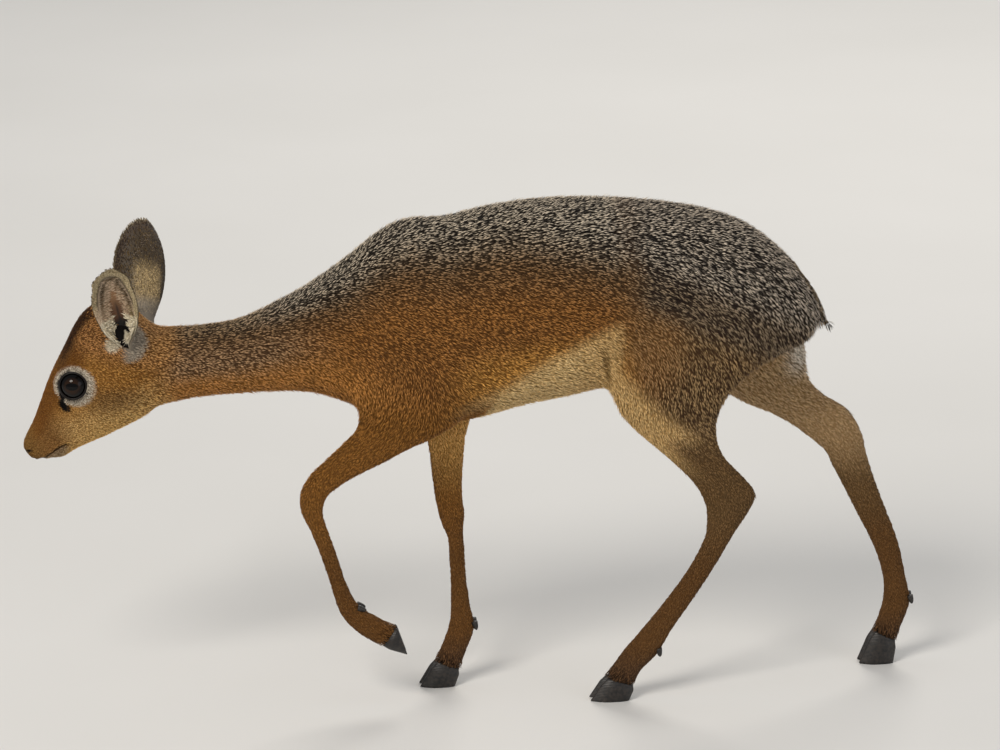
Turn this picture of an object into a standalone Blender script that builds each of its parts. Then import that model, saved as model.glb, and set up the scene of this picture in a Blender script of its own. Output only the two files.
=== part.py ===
"""A life-size dik-dik ewe, walking with her head low, as a still museum model.

The flesh is lofted from rings, joined, smoothed and then parted with thin cuts into head, neck,
torso and legs. Ears, eyes, crest, tail and hooves are pieces of their own. She looks towards -X,
her left side is towards -Y, and the floor is z = 0.
"""

import math

import bmesh
import bpy
import numpy as np
from mathutils import Matrix, Vector

# Driving dimensions, in metres
SHOULDER_HEIGHT = 0.389
EYEBALL_RADIUS = 0.0118
EAR_LENGTH = 0.080
GAP = 0.0003

# The ring tables are in millimetres of an animal that stands 389 mm at the shoulder
MM = SHOULDER_HEIGHT / 389
# The tables count x from a point under the shoulder. This brings the origin under the box's middle
ORIGIN_X = -18.2

VOXEL = 0.0024
BODY_TRIANGLES = 5200
# Folds are filled by smoothing above the legs' tops and behind the face, and fade over these levels
LEG_TOPS = (215, 250)
FACE_REAR = (-300, -262)

# Neck and torso, by upright rings: x, top z, bottom z, half width, height of the widest level
TRUNK = {
    "skull end": (-286, 296, 246, 17, 0.50),
    "poll": (-268, 305, 240.5, 23, 0.50),
    "throat": (-238, 306, 246, 24, 0.48),
    "neck middle": (-206, 310, 248, 25, 0.47),
    "neck root": (-178, 322, 249, 28, 0.46),
    "shoulder front": (-150, 337, 248, 32, 0.45),
    "breast": (-121, 357, 239, 37, 0.44),
    "withers front": (-96, 377, 227, 41, 0.42),
    "withers": (-74, 387.5, 221, 44, 0.40),
    "heart": (-46, 388, 220, 46, 0.40),
    "rib 5": (-16, 394.5, 225, 49, 0.42),
    "rib 9": (20, 399.5, 234, 52, 0.44),
    "barrel": (58, 400.5, 241, 54, 0.46),
    "loin": (96, 398.5, 251, 53, 0.50),
    "flank": (130, 394.5, 268, 49, 0.52),
    "pelvis": (164, 387.5, 281, 46, 0.54),
    "croup": (196, 374.5, 286, 42, 0.55),
    "rump": (223, 351.5, 288, 37, 0.55),
    "seat": (241, 326, 290, 29, 0.52),
    "tail root": (252, 303, 291, 17, 0.50),
}

# Head, by rings across its own axis: dorsal x, z, ventral x, z, half width, level of the widest place
HEAD = {
    "snout tip": (-372.8, 209.5, -365.5, 201.2, 7.4, 0.50),
    "nostrils": (-372.0, 216, -361.0, 200.6, 10.3, 0.50),
    "upper lip": (-369.0, 223, -353.5, 201.2, 12.0, 0.50),
    "chin": (-364.0, 233, -341.5, 201.5, 13.2, 0.50),
    "mouth corner": (-359.5, 245, -331.0, 207.5, 14.6, 0.48),
    "bridge": (-355.0, 257.5, -320.0, 212.5, 17.2, 0.44),
    "tear gland": (-350.0, 269.5, -309.0, 217.0, 21.5, 0.37),
    "eye": (-344.0, 281.5, -299.0, 222.0, 26.0, 0.34),
    "cheek": (-338.0, 293.5, -289.0, 226.5, 28.0, 0.36),
    "jaw angle": (-331.5, 307, -279.0, 231, 28.5, 0.40),
    "brow": (-323.0, 319, -270.0, 237.5, 27.5, 0.44),
    "crown": (-309.0, 327, -265.0, 254, 25.5, 0.47),
    "back of skull": (-291.0, 324, -260.0, 268, 22.0, 0.50),
    "nape": (-274.0, 311, -257.0, 282, 15.0, 0.50),
}

# Legs, by rings: front x, z, rear x, z, distance from the mid plane, half width
FORE_LEFT = {
    "shoulder blade": (-88, 340, -24, 342, 16, 17),
    "shoulder": (-112, 300, -18, 304, 24, 20),
    "shoulder point": (-121, 263, -20, 262, 27, 19),
    "upper arm": (-117, 243, -32, 232, 29, 16),
    "elbow": (-115, 230, -52, 218, 30, 13.5),
    "forearm": (-124, 218, -74, 208, 31, 11.5),
    "mid forearm": (-138, 204.5, -96, 196.5, 31, 10.3),
    "low forearm": (-150, 193.5, -116, 187.5, 32, 9.8),
    "above knee": (-158, 182, -130, 179, 32, 10),
    "knee": (-160.8, 170.5, -138, 171.5, 32, 10.2),
    "below knee": (-159.2, 159.5, -141, 160, 32, 9.2),
    "cannon top": (-153, 145.5, -137.5, 147, 32, 7.4),
    "cannon": (-145.5, 126.5, -130.5, 126, 32, 6.9),
    "cannon low": (-138.5, 105, -124, 104.5, 32, 6.9),
    "above fetlock": (-134, 89, -117, 88.5, 32, 7.6),
    "fetlock": (-128, 74, -110.5, 80.5, 32, 8.8),
    "pastern top": (-115.5, 60, -100.5, 74.5, 32, 8.8),
    "pastern": (-104, 52.5, -92, 69, 32, 8.6),
    "coronet": (-97, 49.5, -86, 65.5, 32, 8.6),
}
FORE_RIGHT = {
    "shoulder blade": (-88, 340, -24, 342, 16, 17),
    "shoulder": (-108, 298, -16, 304, 24, 20),
    "shoulder point": (-104, 264, -10, 268, 27, 18.5),
    "upper arm": (-82, 240, -13, 242, 27.5, 15.5),
    "elbow": (-63, 220, -18, 222, 26, 13),
    "forearm": (-56, 199, -24, 200, 24, 11.5),
    "mid forearm": (-52.8, 174.5, -26.3, 174.5, 22, 10.3),
    "above knee": (-50.5, 155, -27, 155, 20, 10.2),
    "knee": (-48, 142.3, -25.6, 142.3, 19, 10.4),
    "below knee": (-44.7, 130.5, -26.2, 130, 18.3, 9.4),
    "cannon top": (-40.2, 118.3, -26, 117.3, 17.5, 7.4),
    "cannon": (-38.9, 91.2, -24.4, 90.2, 16, 6.9),
    "above fetlock": (-38.5, 67.5, -21.5, 66, 15, 7.6),
    "fetlock": (-39.5, 50.5, -18, 47.5, 14.5, 8.8),
    "pastern": (-45, 34.5, -24.2, 29, 14, 8.8),
    "coronet": (-50.5, 21.5, -30, 14, 13.5, 8.6),
}
HIND_LEFT = {
    "hip": (140, 356, 222, 344, 18, 17),
    "croup": (108, 324, 240, 318, 26, 22),
    "stifle top": (84, 297, 246, 292, 29, 23.5),
    "stifle": (76.5, 273, 219, 277, 30.5, 22),
    "thigh": (79, 252, 194, 261, 31.5, 20),
    "knee": (88, 233, 177, 244, 32.5, 17.5),
    "gaskin top": (102, 218, 168.5, 228, 33.5, 14.5),
    "gaskin": (120, 202, 167, 213, 34, 12),
    "low gaskin": (137, 186, 173.5, 196, 34.5, 10.6),
    "above hock": (149, 172.5, 188, 180, 35, 10.4),
    "hock": (156, 158.5, 198, 166, 35, 10.4),
    "below hock": (158.3, 144.5, 193, 151.5, 35, 9.6),
    "cannon top": (156, 129.5, 182, 134, 35, 8.4),
    "cannon": (145, 107, 169, 111, 35, 7.9),
    "cannon low": (126.5, 80.5, 151.5, 83, 35, 8),
    "above fetlock": (107, 56, 133.5, 57, 35, 8.8),
    "fetlock": (93.5, 40, 122, 37, 35, 9.8),
    "pastern": (85.5, 28.5, 109, 23.5, 35, 9.4),
    "coronet": (79.5, 19.5, 103, 12, 35, 9),
}
HIND_RIGHT = {
    "hip": (140, 356, 222, 344, 18, 17),
    "croup": (112, 324, 241, 318, 26, 22),
    "stifle top": (110, 292, 246, 292, 29, 23),
    "stifle": (128, 264, 247, 270, 30.5, 21),
    "thigh": (160, 241, 248, 257, 31.5, 18),
    "knee": (194, 220.5, 249, 243, 32.5, 15),
    "gaskin": (217, 210, 257, 230, 33.5, 12.4),
    "low gaskin": (236, 198.5, 269, 220.5, 34, 10.8),
    "above hock": (251, 186.5, 282, 211, 35, 10.4),
    "hock": (261.5, 177.5, 292, 193.5, 35, 10.4),
    "below hock": (267, 166, 296.5, 176, 35, 9.6),
    "cannon top": (274.5, 151.5, 302, 158, 35, 8.4),
    "cannon": (287, 126.5, 312, 131, 35, 7.9),
    "cannon low": (301, 99, 323, 102, 35, 8),
    "above fetlock": (309.5, 74, 329.5, 73, 35, 8.8),
    "fetlock": (311, 56, 333.5, 51, 35, 9.8),
    "pastern": (307.5, 40, 328.5, 33.5, 35, 9.4),
    "coronet": (303, 28, 322.5, 18.5, 35, 9),
}
LEGS = (
    ("fore_left", FORE_LEFT, -1),
    ("fore_right", FORE_RIGHT, 1),
    ("hind_left", HIND_LEFT, -1),
    ("hind_right", HIND_RIGHT, 1),
)


def clear_scene():
    """Empties the file the script runs in."""
    for old in list(bpy.data.objects):
        bpy.data.objects.remove(old)


def collection(name):
    """A collection in the scene."""
    made = bpy.data.collections.new(name)
    bpy.context.scene.collection.children.link(made)
    return made


def material(name, colour, roughness):
    """A plain Principled material with the part's colour."""
    made = bpy.data.materials.new(name)
    made.use_nodes = True
    shader = made.node_tree.nodes["Principled BSDF"]
    shader.inputs["Base Color"].default_value = (*colour, 1.0)
    shader.inputs["Roughness"].default_value = roughness
    shader.inputs["Metallic"].default_value = 0.0
    made.diffuse_color = (*colour, 1.0)
    return made


def place(x, y, z):
    """A point of the ring tables in the model's own frame, in metres."""
    return Vector(((x - ORIGIN_X) * MM, y * MM, z * MM))


def smooth_rows(rows, steps):
    """Catmull-Rom curve through the rows of an array, with so many steps between two rows."""
    rows = np.asarray(rows, float)
    ends = np.vstack([2 * rows[0] - rows[1], rows, 2 * rows[-1] - rows[-2]])
    t = np.linspace(0, 1, steps, endpoint=False)[:, None]
    pieces = []
    for a, b, c, d in zip(ends, ends[1:], ends[2:], ends[3:]):
        curve = 2 * b + (c - a) * t + (2 * a - 5 * b + 4 * c - d) * t**2
        pieces.append(0.5 * (curve + (3 * b - a - 3 * c + d) * t**3))
    return np.vstack([*pieces, rows[-1:]])


def closed_tube(name, rings):
    """An object from rings of points, each ring a loop, with its two ends closed."""
    count, around = rings.shape[:2]
    faces = []
    for i in range(count - 1):
        for j in range(around):
            k = (j + 1) % around
            faces.append((i * around + j, i * around + k, (i + 1) * around + k, (i + 1) * around + j))
    faces.append(tuple(range(around))[::-1])
    faces.append(tuple(range((count - 1) * around, count * around)))
    mesh = bpy.data.meshes.new(name)
    mesh.from_pydata(rings.reshape(-1, 3).tolist(), [], faces)
    work = bmesh.new()
    work.from_mesh(mesh)
    bmesh.ops.recalc_face_normals(work, faces=work.faces)
    work.to_mesh(mesh)
    work.free()
    return bpy.data.objects.new(name, mesh)


def egg_rings(rows, around, power=2.0):
    """Egg-shaped rings. A row is a point A, a point B, the middle's y, the half width, and how far
    from B to A the widest level lies. At angle t, the ring is at y + width cos t, and from that
    level it goes towards A by sin t, or towards B by -sin t."""
    a, b = rows[:, 0:3], rows[:, 3:6]
    width, level = rows[:, 6:7, None], rows[:, 7:8, None]
    t = np.linspace(0, 2 * math.pi, around, endpoint=False)[None, :, None]
    cos, sin = np.cos(t), np.sin(t)
    cos = np.sign(cos) * abs(cos) ** (2 / power)
    sin = np.sign(sin) * abs(sin) ** (2 / power)
    b_to_a = (a - b)[:, None, :]
    along = np.where(sin > 0, level + (1 - level) * sin, level + level * sin)
    return b[:, None, :] + along * b_to_a + width * cos * np.array([0.0, 1.0, 0.0])


def ring_row(front, rear, y, width, level):
    """One row for egg_rings: the front or top point, the rear or bottom point, and the widths."""
    a, b = place(front[0], y, front[1]), place(rear[0], y, rear[1])
    return [*a, *b, width * MM, level]


def trunk_loft():
    """Neck and torso: upright egg-shaped rings from inside the head to the rump."""
    rows = [
        ring_row((x, top), (x, bottom), 0, width, level)
        for x, top, bottom, width, level in TRUNK.values()
    ]
    return closed_tube("trunk", egg_rings(smooth_rows(rows, 3), 40, 2.15))


def head_loft():
    """Skull, muzzle and jaw: rings across the head, widest at the eyes and narrow at the jaw."""
    rows = [
        ring_row((ax, az), (bx, bz), 0, width, 1 - level)
        for ax, az, bx, bz, width, level in HEAD.values()
    ]
    return closed_tube("head", egg_rings(smooth_rows(rows, 4), 36, 2.15))


def leg_loft(name, rings, side):
    """A leg from inside the body down to its coronet."""
    rows = [
        ring_row((ax, az), (bx, bz), side * y, width, 0.5)
        for ax, az, bx, bz, y, width in rings.values()
    ]
    return closed_tube(name, egg_rings(smooth_rows(rows, 3), 24, 2.1))


def link(obj, where):
    where.objects.link(obj)
    return obj


def apply_all(obj):
    """Turns an object's evaluated shape into its own mesh."""
    graph = bpy.context.evaluated_depsgraph_get()
    mesh = bpy.data.meshes.new_from_object(obj.evaluated_get(graph))
    obj.modifiers.clear()
    obj.data = mesh
    return obj


def merged(name, objects, where):
    """Objects put together in one mesh, with no join of their surfaces yet."""
    work = bmesh.new()
    for obj in objects:
        part = obj.data.copy()
        part.transform(obj.matrix_world)
        work.from_mesh(part)
    mesh = bpy.data.meshes.new(name)
    work.to_mesh(mesh)
    work.free()
    for obj in objects:
        bpy.data.objects.remove(obj)
    return link(bpy.data.objects.new(name, mesh), where)


def points_of(obj):
    found = np.empty(len(obj.data.vertices) * 3)
    obj.data.vertices.foreach_get("co", found)
    return found.reshape(-1, 3)


def ramp(value, low, high):
    """0 below low, 1 above high, and smooth between them."""
    t = np.clip((value - low) / (high - low), 0, 1)
    return t * t * (3 - 2 * t)


def weight(obj, name, values):
    """A vertex group with a weight for each point, in steps of a twentieth."""
    group = obj.vertex_groups.new(name=name)
    steps = np.round(np.clip(values, 0, 1) * 20).astype(int)
    for step in range(1, 21):
        chosen = np.nonzero(steps == step)[0]
        group.add(chosen.tolist(), step / 20, "REPLACE")
    return group


def flesh(where):
    """The whole body as one closed skin: lofts joined by a fine voxel mesh, with the folds
    between legs, neck and torso filled by smoothing, then reduced to the faces the form needs."""
    lofts = [trunk_loft(), head_loft(), *eye_mounds(), *ear_roots()]
    lofts += [leg_loft(name, rings, side) for name, rings, side in LEGS]
    body = merged("flesh", lofts, where)
    remesh = body.modifiers.new("join", "REMESH")
    remesh.mode = "VOXEL"
    remesh.voxel_size = VOXEL
    apply_all(body)
    points = points_of(body)
    x, z = points[:, 0] / MM + ORIGIN_X, points[:, 2] / MM
    on_legs = 1 - ramp(z, *LEG_TOPS)
    on_face = 1 - ramp(x, *FACE_REAR)
    weight(body, "fold", 1 - np.maximum(on_legs * 0.92, on_face * 0.95))
    fold = body.modifiers.new("fill folds", "SMOOTH")
    fold.factor, fold.iterations, fold.vertex_group = 0.6, 26, "fold"
    fair = body.modifiers.new("fair", "SMOOTH")
    fair.factor, fair.iterations = 0.5, 2
    apply_all(body)
    thin = body.modifiers.new("few faces", "DECIMATE")
    thin.ratio = BODY_TRIANGLES / len(body.data.polygons) / 2
    thin.use_collapse_triangulate = True
    return apply_all(body)


# Eyes
EYE = (-331.5, 265.3)
EYE_FROM_MIDDLE = 17.6
LID_THICKNESS = 0.0014
EYE_LOOK = (-0.2, 1.0, 0.1)
LID_CORNERS = (0.0092, 0.0080)


def mirrored(direction, side):
    """A direction given for the right side, on the right (1) or the left (-1)."""
    return Vector((direction[0], side * direction[1], direction[2])).normalized()


def eye_centre(side):
    return place(EYE[0], side * EYE_FROM_MIDDLE, EYE[1])


def ball(name, centre, radius, segments=20, rings=12):
    """A sphere as a mesh object."""
    work = bmesh.new()
    bmesh.ops.create_uvsphere(work, u_segments=segments, v_segments=rings, radius=radius)
    mesh = bpy.data.meshes.new(name)
    work.to_mesh(mesh)
    work.free()
    mesh.transform(Matrix.Translation(centre))
    return bpy.data.objects.new(name, mesh)


def eye_mounds():
    """The lids' domes, a little larger than the eyeballs, which the sockets then hollow out."""
    radius = EYEBALL_RADIUS + GAP + LID_THICKNESS
    return [ball("lid dome", eye_centre(side), radius) for side in (-1, 1)]


def eye_opening(side):
    """A cone from the eyeball's centre through the almond opening between the lids. Its long axis
    runs from the front corner, towards the tear gland, to the rear corner below the ear."""
    look = mirrored(EYE_LOOK, side)
    long_axis = Vector((0.95, 0.0, 0.31))
    long_axis = (long_axis - long_axis.dot(look) * look).normalized()
    short_axis = look.cross(long_axis)
    angle = np.linspace(0, 2 * math.pi, 20, endpoint=False)
    half_long, half_short = LID_CORNERS
    loop = np.outer(np.cos(angle) * half_long, long_axis)
    loop += np.outer(np.sin(angle) * half_short * (1 - 0.25 * np.cos(angle) ** 4), short_axis)
    centre = np.array(eye_centre(side))
    reach = math.sqrt(EYEBALL_RADIUS**2 - half_long**2)
    rings = [centre + (np.array(look) * reach + loop) * scale for scale in (0.3, 1.0, 2.2)]
    return closed_tube("eye opening", np.array(rings))


# Ears
# Each ear's root point, the way it points, and the way its hollow faces. The left ear is turned
# down and out, the right one stands up and back
EARS = {
    -1: ((-291.0, -24.5, 302.0), (-0.190, -0.530, 0.826), (-0.35, -0.80, -0.48)),
    1: ((-276.5, 21.5, 306.5), (0.03, 0.60, 0.80), (-0.35, 0.80, -0.48)),
}
EAR_THICKNESS = 0.0017
EAR_ROOT_RADIUS = 0.0086
# Height up the ear, half width, half angle of its curl, and how far its back stands off its axis
EAR_RINGS = (
    (0.0, 8.4, 158, -8.4),
    (0.07, 10.2, 146, -9.4),
    (0.16, 13.4, 122, -10.6),
    (0.28, 17.2, 100, -11.4),
    (0.42, 20.0, 84, -11.4),
    (0.56, 20.6, 72, -10.6),
    (0.70, 18.8, 64, -9.2),
    (0.82, 15.0, 58, -7.6),
    (0.92, 9.6, 54, -6.0),
    (0.98, 4.6, 50, -5.0),
    (1.0, 2.0, 48, -4.6),
)


def ear_frame(side):
    """Root point and the three directions of an ear: up its length, across it, and out of its
    hollow, which faces outwards and a little forwards."""
    point, up, faces = EARS[side]
    root, up, faces = place(*point), Vector(up).normalized(), Vector(faces)
    faces = (faces - faces.dot(up) * up).normalized()
    return root, up, up.cross(faces), faces


def ear_roots():
    """Short stumps that the ears stand on, part of the head."""
    made = []
    for side in (-1, 1):
        root, up, across, faces = ear_frame(side)
        angle = np.linspace(0, 2 * math.pi, 20, endpoint=False)
        loop = np.outer(np.cos(angle), across) + np.outer(np.sin(angle), faces)
        rings = [
            np.array(root + up * height) + loop * EAR_ROOT_RADIUS * wide
            for height, wide in ((-0.022, 1.7), (-0.01, 1.4), (0.0, 1.2), (0.004, 1.15))
        ]
        made.append(closed_tube("ear root", np.array(rings)))
    return made


def ear_seat(side):
    """The flat on which an ear stands: a disc that trims its stump at the root point."""
    root, up, across, faces = ear_frame(side)
    angle = np.linspace(0, 2 * math.pi, 20, endpoint=False)
    loop = np.outer(np.cos(angle), across) + np.outer(np.sin(angle), faces)
    rings = [np.array(root + up * height) + loop * 0.014 for height in (0.0, 0.011)]
    return closed_tube("ear seat", np.array(rings))


def ear(side, where):
    """A pointed leaf, curled to a tube at its foot and open above, as a shell of even thickness.
    Each ring is an arc of half angle a and half width w, with its back set off from the axis."""
    rows = smooth_rows(EAR_RINGS, 1)
    height, half, back = rows[:, 0], rows[:, 1] * MM, rows[:, 3] * MM
    curl = np.radians(rows[:, 2])
    radius = half / np.where(curl < math.pi / 2, np.sin(curl), 1.0)
    root, up, across, faces = (np.array(part) for part in ear_frame(side))
    turn = np.linspace(-1, 1, 12)[None, :] * curl[:, None]
    points = root + up * GAP + (height * EAR_LENGTH)[:, None, None] * up
    points = points + (radius[:, None] * np.sin(turn))[..., None] * across
    points = points + (back[:, None] + radius[:, None] * (1 - np.cos(turn)))[..., None] * faces
    tall, wide = turn.shape
    faces_of = []
    for i in range(tall - 1):
        for j in range(wide - 1):
            k = i * wide + j
            faces_of.append((k, k + 1, k + wide + 1, k + wide))
    mesh = bpy.data.meshes.new("ear")
    mesh.from_pydata(points.reshape(-1, 3).tolist(), [], faces_of)
    obj = link(bpy.data.objects.new("ear", mesh), where)
    shell = obj.modifiers.new("thickness", "SOLIDIFY")
    shell.thickness, shell.offset = EAR_THICKNESS, 0.0
    apply_all(obj)
    work = bmesh.new()
    work.from_mesh(obj.data)
    below = Vector(root + up * GAP)
    cut = bmesh.ops.bisect_plane(
        work,
        geom=[*work.verts, *work.edges, *work.faces],
        plane_co=below,
        plane_no=Vector(up),
        clear_inner=True,
    )
    rim = [item for item in cut["geom_cut"] if isinstance(item, bmesh.types.BMEdge)]
    if rim:
        bmesh.ops.holes_fill(work, edges=rim)
    bmesh.ops.recalc_face_normals(work, faces=work.faces)
    work.to_mesh(obj.data)
    work.free()
    return obj


# Nose, mouth and tear glands
NOSTRIL = (-369.3, 8.0, 208.0)
NOSTRIL_SIZE = (0.0030, 0.0034, 0.0012)
NOSTRIL_TURN = 0.9
MOUTH_LINE = ((-359.5, 197), (-356.8, 203), (-353, 206.5), (-348.5, 210), (-344, 213), (-339.5, 215.3))
MOUTH_GAP = (1.5, 1.3, 1.1, 0.9, 0.7, 0.5)
GLAND = (-341.5, 20.8, 250.5)
GLAND_SIZE = (0.0034, 0.0028, 0.0056)
GLAND_TURN = -0.55


def pit(name, centre, side, size, turn):
    """An ellipsoid turned about the line across the head, which a pit or a nostril is cut with."""
    made = ball(name, Vector((0, 0, 0)), 1.0, 14, 9)
    where = Matrix.Translation(place(centre[0], side * centre[1], centre[2]))
    made.data.transform(where @ Matrix.Rotation(turn, 4, "Y") @ Matrix.Diagonal((*size, 1.0)))
    return made


def mouth_slit():
    """A thin curved slit along the line of the mouth, from the lips back to the two corners."""
    rings = []
    for (x, z), gap in zip(MOUTH_LINE, MOUTH_GAP):
        upper, lower = place(x, 0, z + gap / 2), place(x, 0, z - gap / 2)
        wide = Vector((0, 0.03, 0))
        rings.append([upper - wide, upper + wide, lower + wide, lower - wide])
    return closed_tube("mouth", np.array(rings))


# Crest and tail
CREST = (
    (-323, 0, 320.5, 12, 0),
    (-321, 5.5, 320.5, 12, 12),
    (-321, -5.5, 320.5, 12, -12),
    (-315, 2.5, 324, 14, 5),
    (-314, -3.5, 324, 14, -6),
    (-310, 8, 323.5, 13, 16),
    (-310, -8, 323.5, 13, -16),
    (-306, 0.5, 325.5, 14, 0),
    (-300, 4.5, 325, 13, 8),
    (-300, -4.5, 325, 13, -8),
)
LOCK_WIDTH = 0.0052
LOCK_THICKNESS = 0.0022
TAIL = (
    (213, 357, 7.0, 4.4),
    (228.5, 341.5, 8.5, 5.2),
    (240, 327.5, 9.5, 5.5),
    (249.5, 313, 9.0, 5.2),
    (255.5, 300, 7.0, 4.4),
    (259, 290, 4.0, 3.0),
    (260.5, 284, 1.6, 1.4),
)


def lock(x, y, z, length, spread):
    """A flat tapered lock of hair whose root is sunk in the crown and whose tip lies back."""
    back = Vector((0.80, math.sin(math.radians(spread)), 0.55)).normalized()
    bend = Vector((0.3, 0, -0.42))
    side = back.cross(Vector((0, 0, 1))).normalized()
    thick = side.cross(back).normalized()
    rings = []
    for t in (-0.35, 0.15, 0.5, 0.8, 1.0):
        centre = place(x, y, z) + (back * t + bend * max(t, 0) ** 2) * length * MM
        taper = 1.0 if t < 0.2 else max(1.06 - 0.95 * t, 0.1)
        angle = np.linspace(0, 2 * math.pi, 6, endpoint=False)
        loop = np.outer(np.cos(angle) * LOCK_WIDTH / 2 * taper, side)
        loop += np.outer(np.sin(angle) * LOCK_THICKNESS / 2 * taper, thick)
        rings.append(np.array(centre) + loop)
    return closed_tube("lock", np.array(rings))


def tail_loft(extra):
    """The short flattened tail pressed to the rump, grown by so much all round."""
    rows = smooth_rows(TAIL, 3)
    path = np.array([place(x, 0, z) for x, z in rows[:, :2]])
    along = np.gradient(path, axis=0)
    along /= np.linalg.norm(along, axis=1)[:, None]
    out = np.cross(along, [0.0, 1.0, 0.0])
    angle = np.linspace(0, 2 * math.pi, 16, endpoint=False)
    wide = rows[:, 2] * MM + extra
    thick = rows[:, 3] * MM + extra
    rings = path[:, None, :] + (wide[:, None] * np.cos(angle))[..., None] * np.array([0.0, 1.0, 0.0])
    rings = rings + (thick[:, None] * np.sin(angle))[..., None] * out[:, None, :]
    rings[0] -= along[0] * extra
    rings[-1] += along[-1] * extra
    return closed_tube("tail", rings)


# Feet: for each leg, the toe and heel of the sole
SOLES = {
    "fore_left": ((-76.5, 42.5), (-84.0, 63.5)),
    "fore_right": ((-63.0, 0.0), (-35.0, 0.0)),
    "hind_left": ((67.0, 0.0), (98.0, 0.0)),
    "hind_right": ((291.5, 0.0), (319.5, 0.0)),
}
CLAW_SPLIT = 0.0005
DEWCLAW = 0.0028


def claw(rings, side, inner, sole):
    """One of a foot's two claws. It starts a gap below the coronet, flares a little, and ends in a
    flat sole that narrows to the toe. Inner is 1 for the claw away from the mid plane."""
    front_x, front_z, rear_x, rear_z, middle, half = list(rings.values())[-1]
    toe, heel = sole
    y = side * middle
    wide = half * MM
    count = 18
    angle = np.linspace(0, 2 * math.pi, count, endpoint=False)
    fore, across = np.cos(angle), np.sin(angle)
    top_front, top_rear = np.array(place(front_x, y, front_z)), np.array(place(rear_x, y, rear_z))
    low_front, low_rear = np.array(place(toe[0], y, toe[1])), np.array(place(heel[0], y, heel[1]))
    down = (low_front + low_rear - top_front - top_rear) / 2
    normal = np.cross(top_rear - top_front, [0.0, 1.0, 0.0])
    normal /= np.linalg.norm(normal)
    if normal @ down < 0:
        normal = -normal
    top_front, top_rear = top_front + normal * GAP, top_rear + normal * GAP
    rows = []
    for t, flare in ((0.0, 0.97), (0.3, 1.06), (0.75, 1.12), (1.0, 1.1)):
        a = top_front + (low_front - top_front) * t
        b = top_rear + (low_rear - top_rear) * t
        taper = 1 - (0.25 + 0.45 * t) * np.clip(fore, 0, 1) ** 2.2
        wall = np.sign(across) * abs(across) ** 0.8 * taper
        wall = np.where(across * inner > 0, wall * flare, wall * 0.98)
        offset = inner * (wide / 2 + CLAW_SPLIT) + wall * (wide / 2)
        centre = (a + b) / 2 + np.outer(fore, (a - b) / 2)
        centre[:, 1] += offset * side
        rows.append(centre)
    return closed_tube("claw", np.array(rows))


def dewclaws(rings, side):
    """Two small horny points behind the fetlock."""
    _, _, x, z, middle, half = rings["fetlock"]
    made = []
    for out in (-1, 1):
        centre = place(x, side * middle + out * half * 0.5, z)
        made.append(ball("dewclaw", centre, DEWCLAW, 8, 6))
    return made


# Cuts
LEG_CUTS = {
    "fore": ("elbow", "below knee", "fetlock"),
    "hind": ("knee", "below hock", "fetlock"),
}
LEG_NAMES = {
    "fore": ("forearm", "cannon", "pastern"),
    "hind": ("shank", "cannon", "pastern"),
}
TRUNK_CUTS = ("throat", "shoulder front")
TRUNK_PIECES = {"head": (-310, 265), "neck": (-195, 285), "torso": (60, 310)}
SCRAP_FACES = 60


def slab(front, rear, y, half, thickness):
    """A thin plate through a ring, a little larger than the limb there."""
    a, b = place(front[0], y, front[1]), place(rear[0], y, rear[1])
    along = (b - a).normalized()
    normal = along.cross(Vector((0, 1, 0)))
    work = bmesh.new()
    bmesh.ops.create_cube(work, size=1.0)
    mesh = bpy.data.meshes.new("cut")
    work.to_mesh(mesh)
    work.free()
    turn = Matrix((along, Vector((0, 1, 0)), normal)).transposed().to_4x4()
    size = Matrix.Diagonal(((b - a).length * 1.3, half * MM * 3.0, thickness, 1.0))
    mesh.transform(Matrix.Translation((a + b) / 2) @ turn @ size)
    return bpy.data.objects.new("cut", mesh)


def combine(target, tools, operation, where):
    """Adds tools to the target or cuts them from it, one after another, then removes them."""
    for tool in tools:
        link(tool, where)
        step = target.modifiers.new("step", "BOOLEAN")
        step.operation, step.solver, step.object = operation, "EXACT", tool
        apply_all(target)
        bpy.data.objects.remove(tool)
    return target


def loose_pieces(obj, where):
    """Splits a mesh into its separate closed pieces and removes the whole."""
    work = bmesh.new()
    work.from_mesh(obj.data)
    work.verts.ensure_lookup_table()
    seen, pieces = set(), []
    for start in work.verts:
        if start.index in seen:
            continue
        seen.add(start.index)
        piece, todo = [], [start]
        while todo:
            vertex = todo.pop()
            piece.append(vertex)
            for edge in vertex.link_edges:
                other = edge.other_vert(vertex)
                if other.index not in seen:
                    seen.add(other.index)
                    todo.append(other)
        pieces.append(piece)
    made = []
    for piece in pieces:
        number = {vertex.index: i for i, vertex in enumerate(piece)}
        faces = {face for vertex in piece for face in vertex.link_faces}
        mesh = bpy.data.meshes.new("piece")
        loops = [[number[v.index] for v in face.verts] for face in sorted(faces, key=lambda f: f.index)]
        mesh.from_pydata([vertex.co[:] for vertex in piece], [], loops)
        made.append(link(bpy.data.objects.new("piece", mesh), where))
    work.free()
    bpy.data.objects.remove(obj)
    return made


def centre_of(obj):
    points = points_of(obj)
    return (points.min(axis=0) + points.max(axis=0)) / 2


def ring_middle(rings, side, upper, lower):
    """The middle of the stretch of a leg between two named rings."""
    front_x, front_z, rear_x, rear_z, y, half = (np.array(rings[upper]) + rings[lower]) / 2
    return place((front_x + rear_x) / 2, side * y, (front_z + rear_z) / 2)


def finish(obj, name, skin):
    """Gives a piece its name and material, and smooth shading with its sharp edges kept."""
    obj.name = obj.data.name = name
    obj.data.materials.clear()
    obj.data.materials.append(skin)
    obj.data.shade_smooth()
    obj.data.set_sharp_from_angle(angle=math.radians(50))


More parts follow.
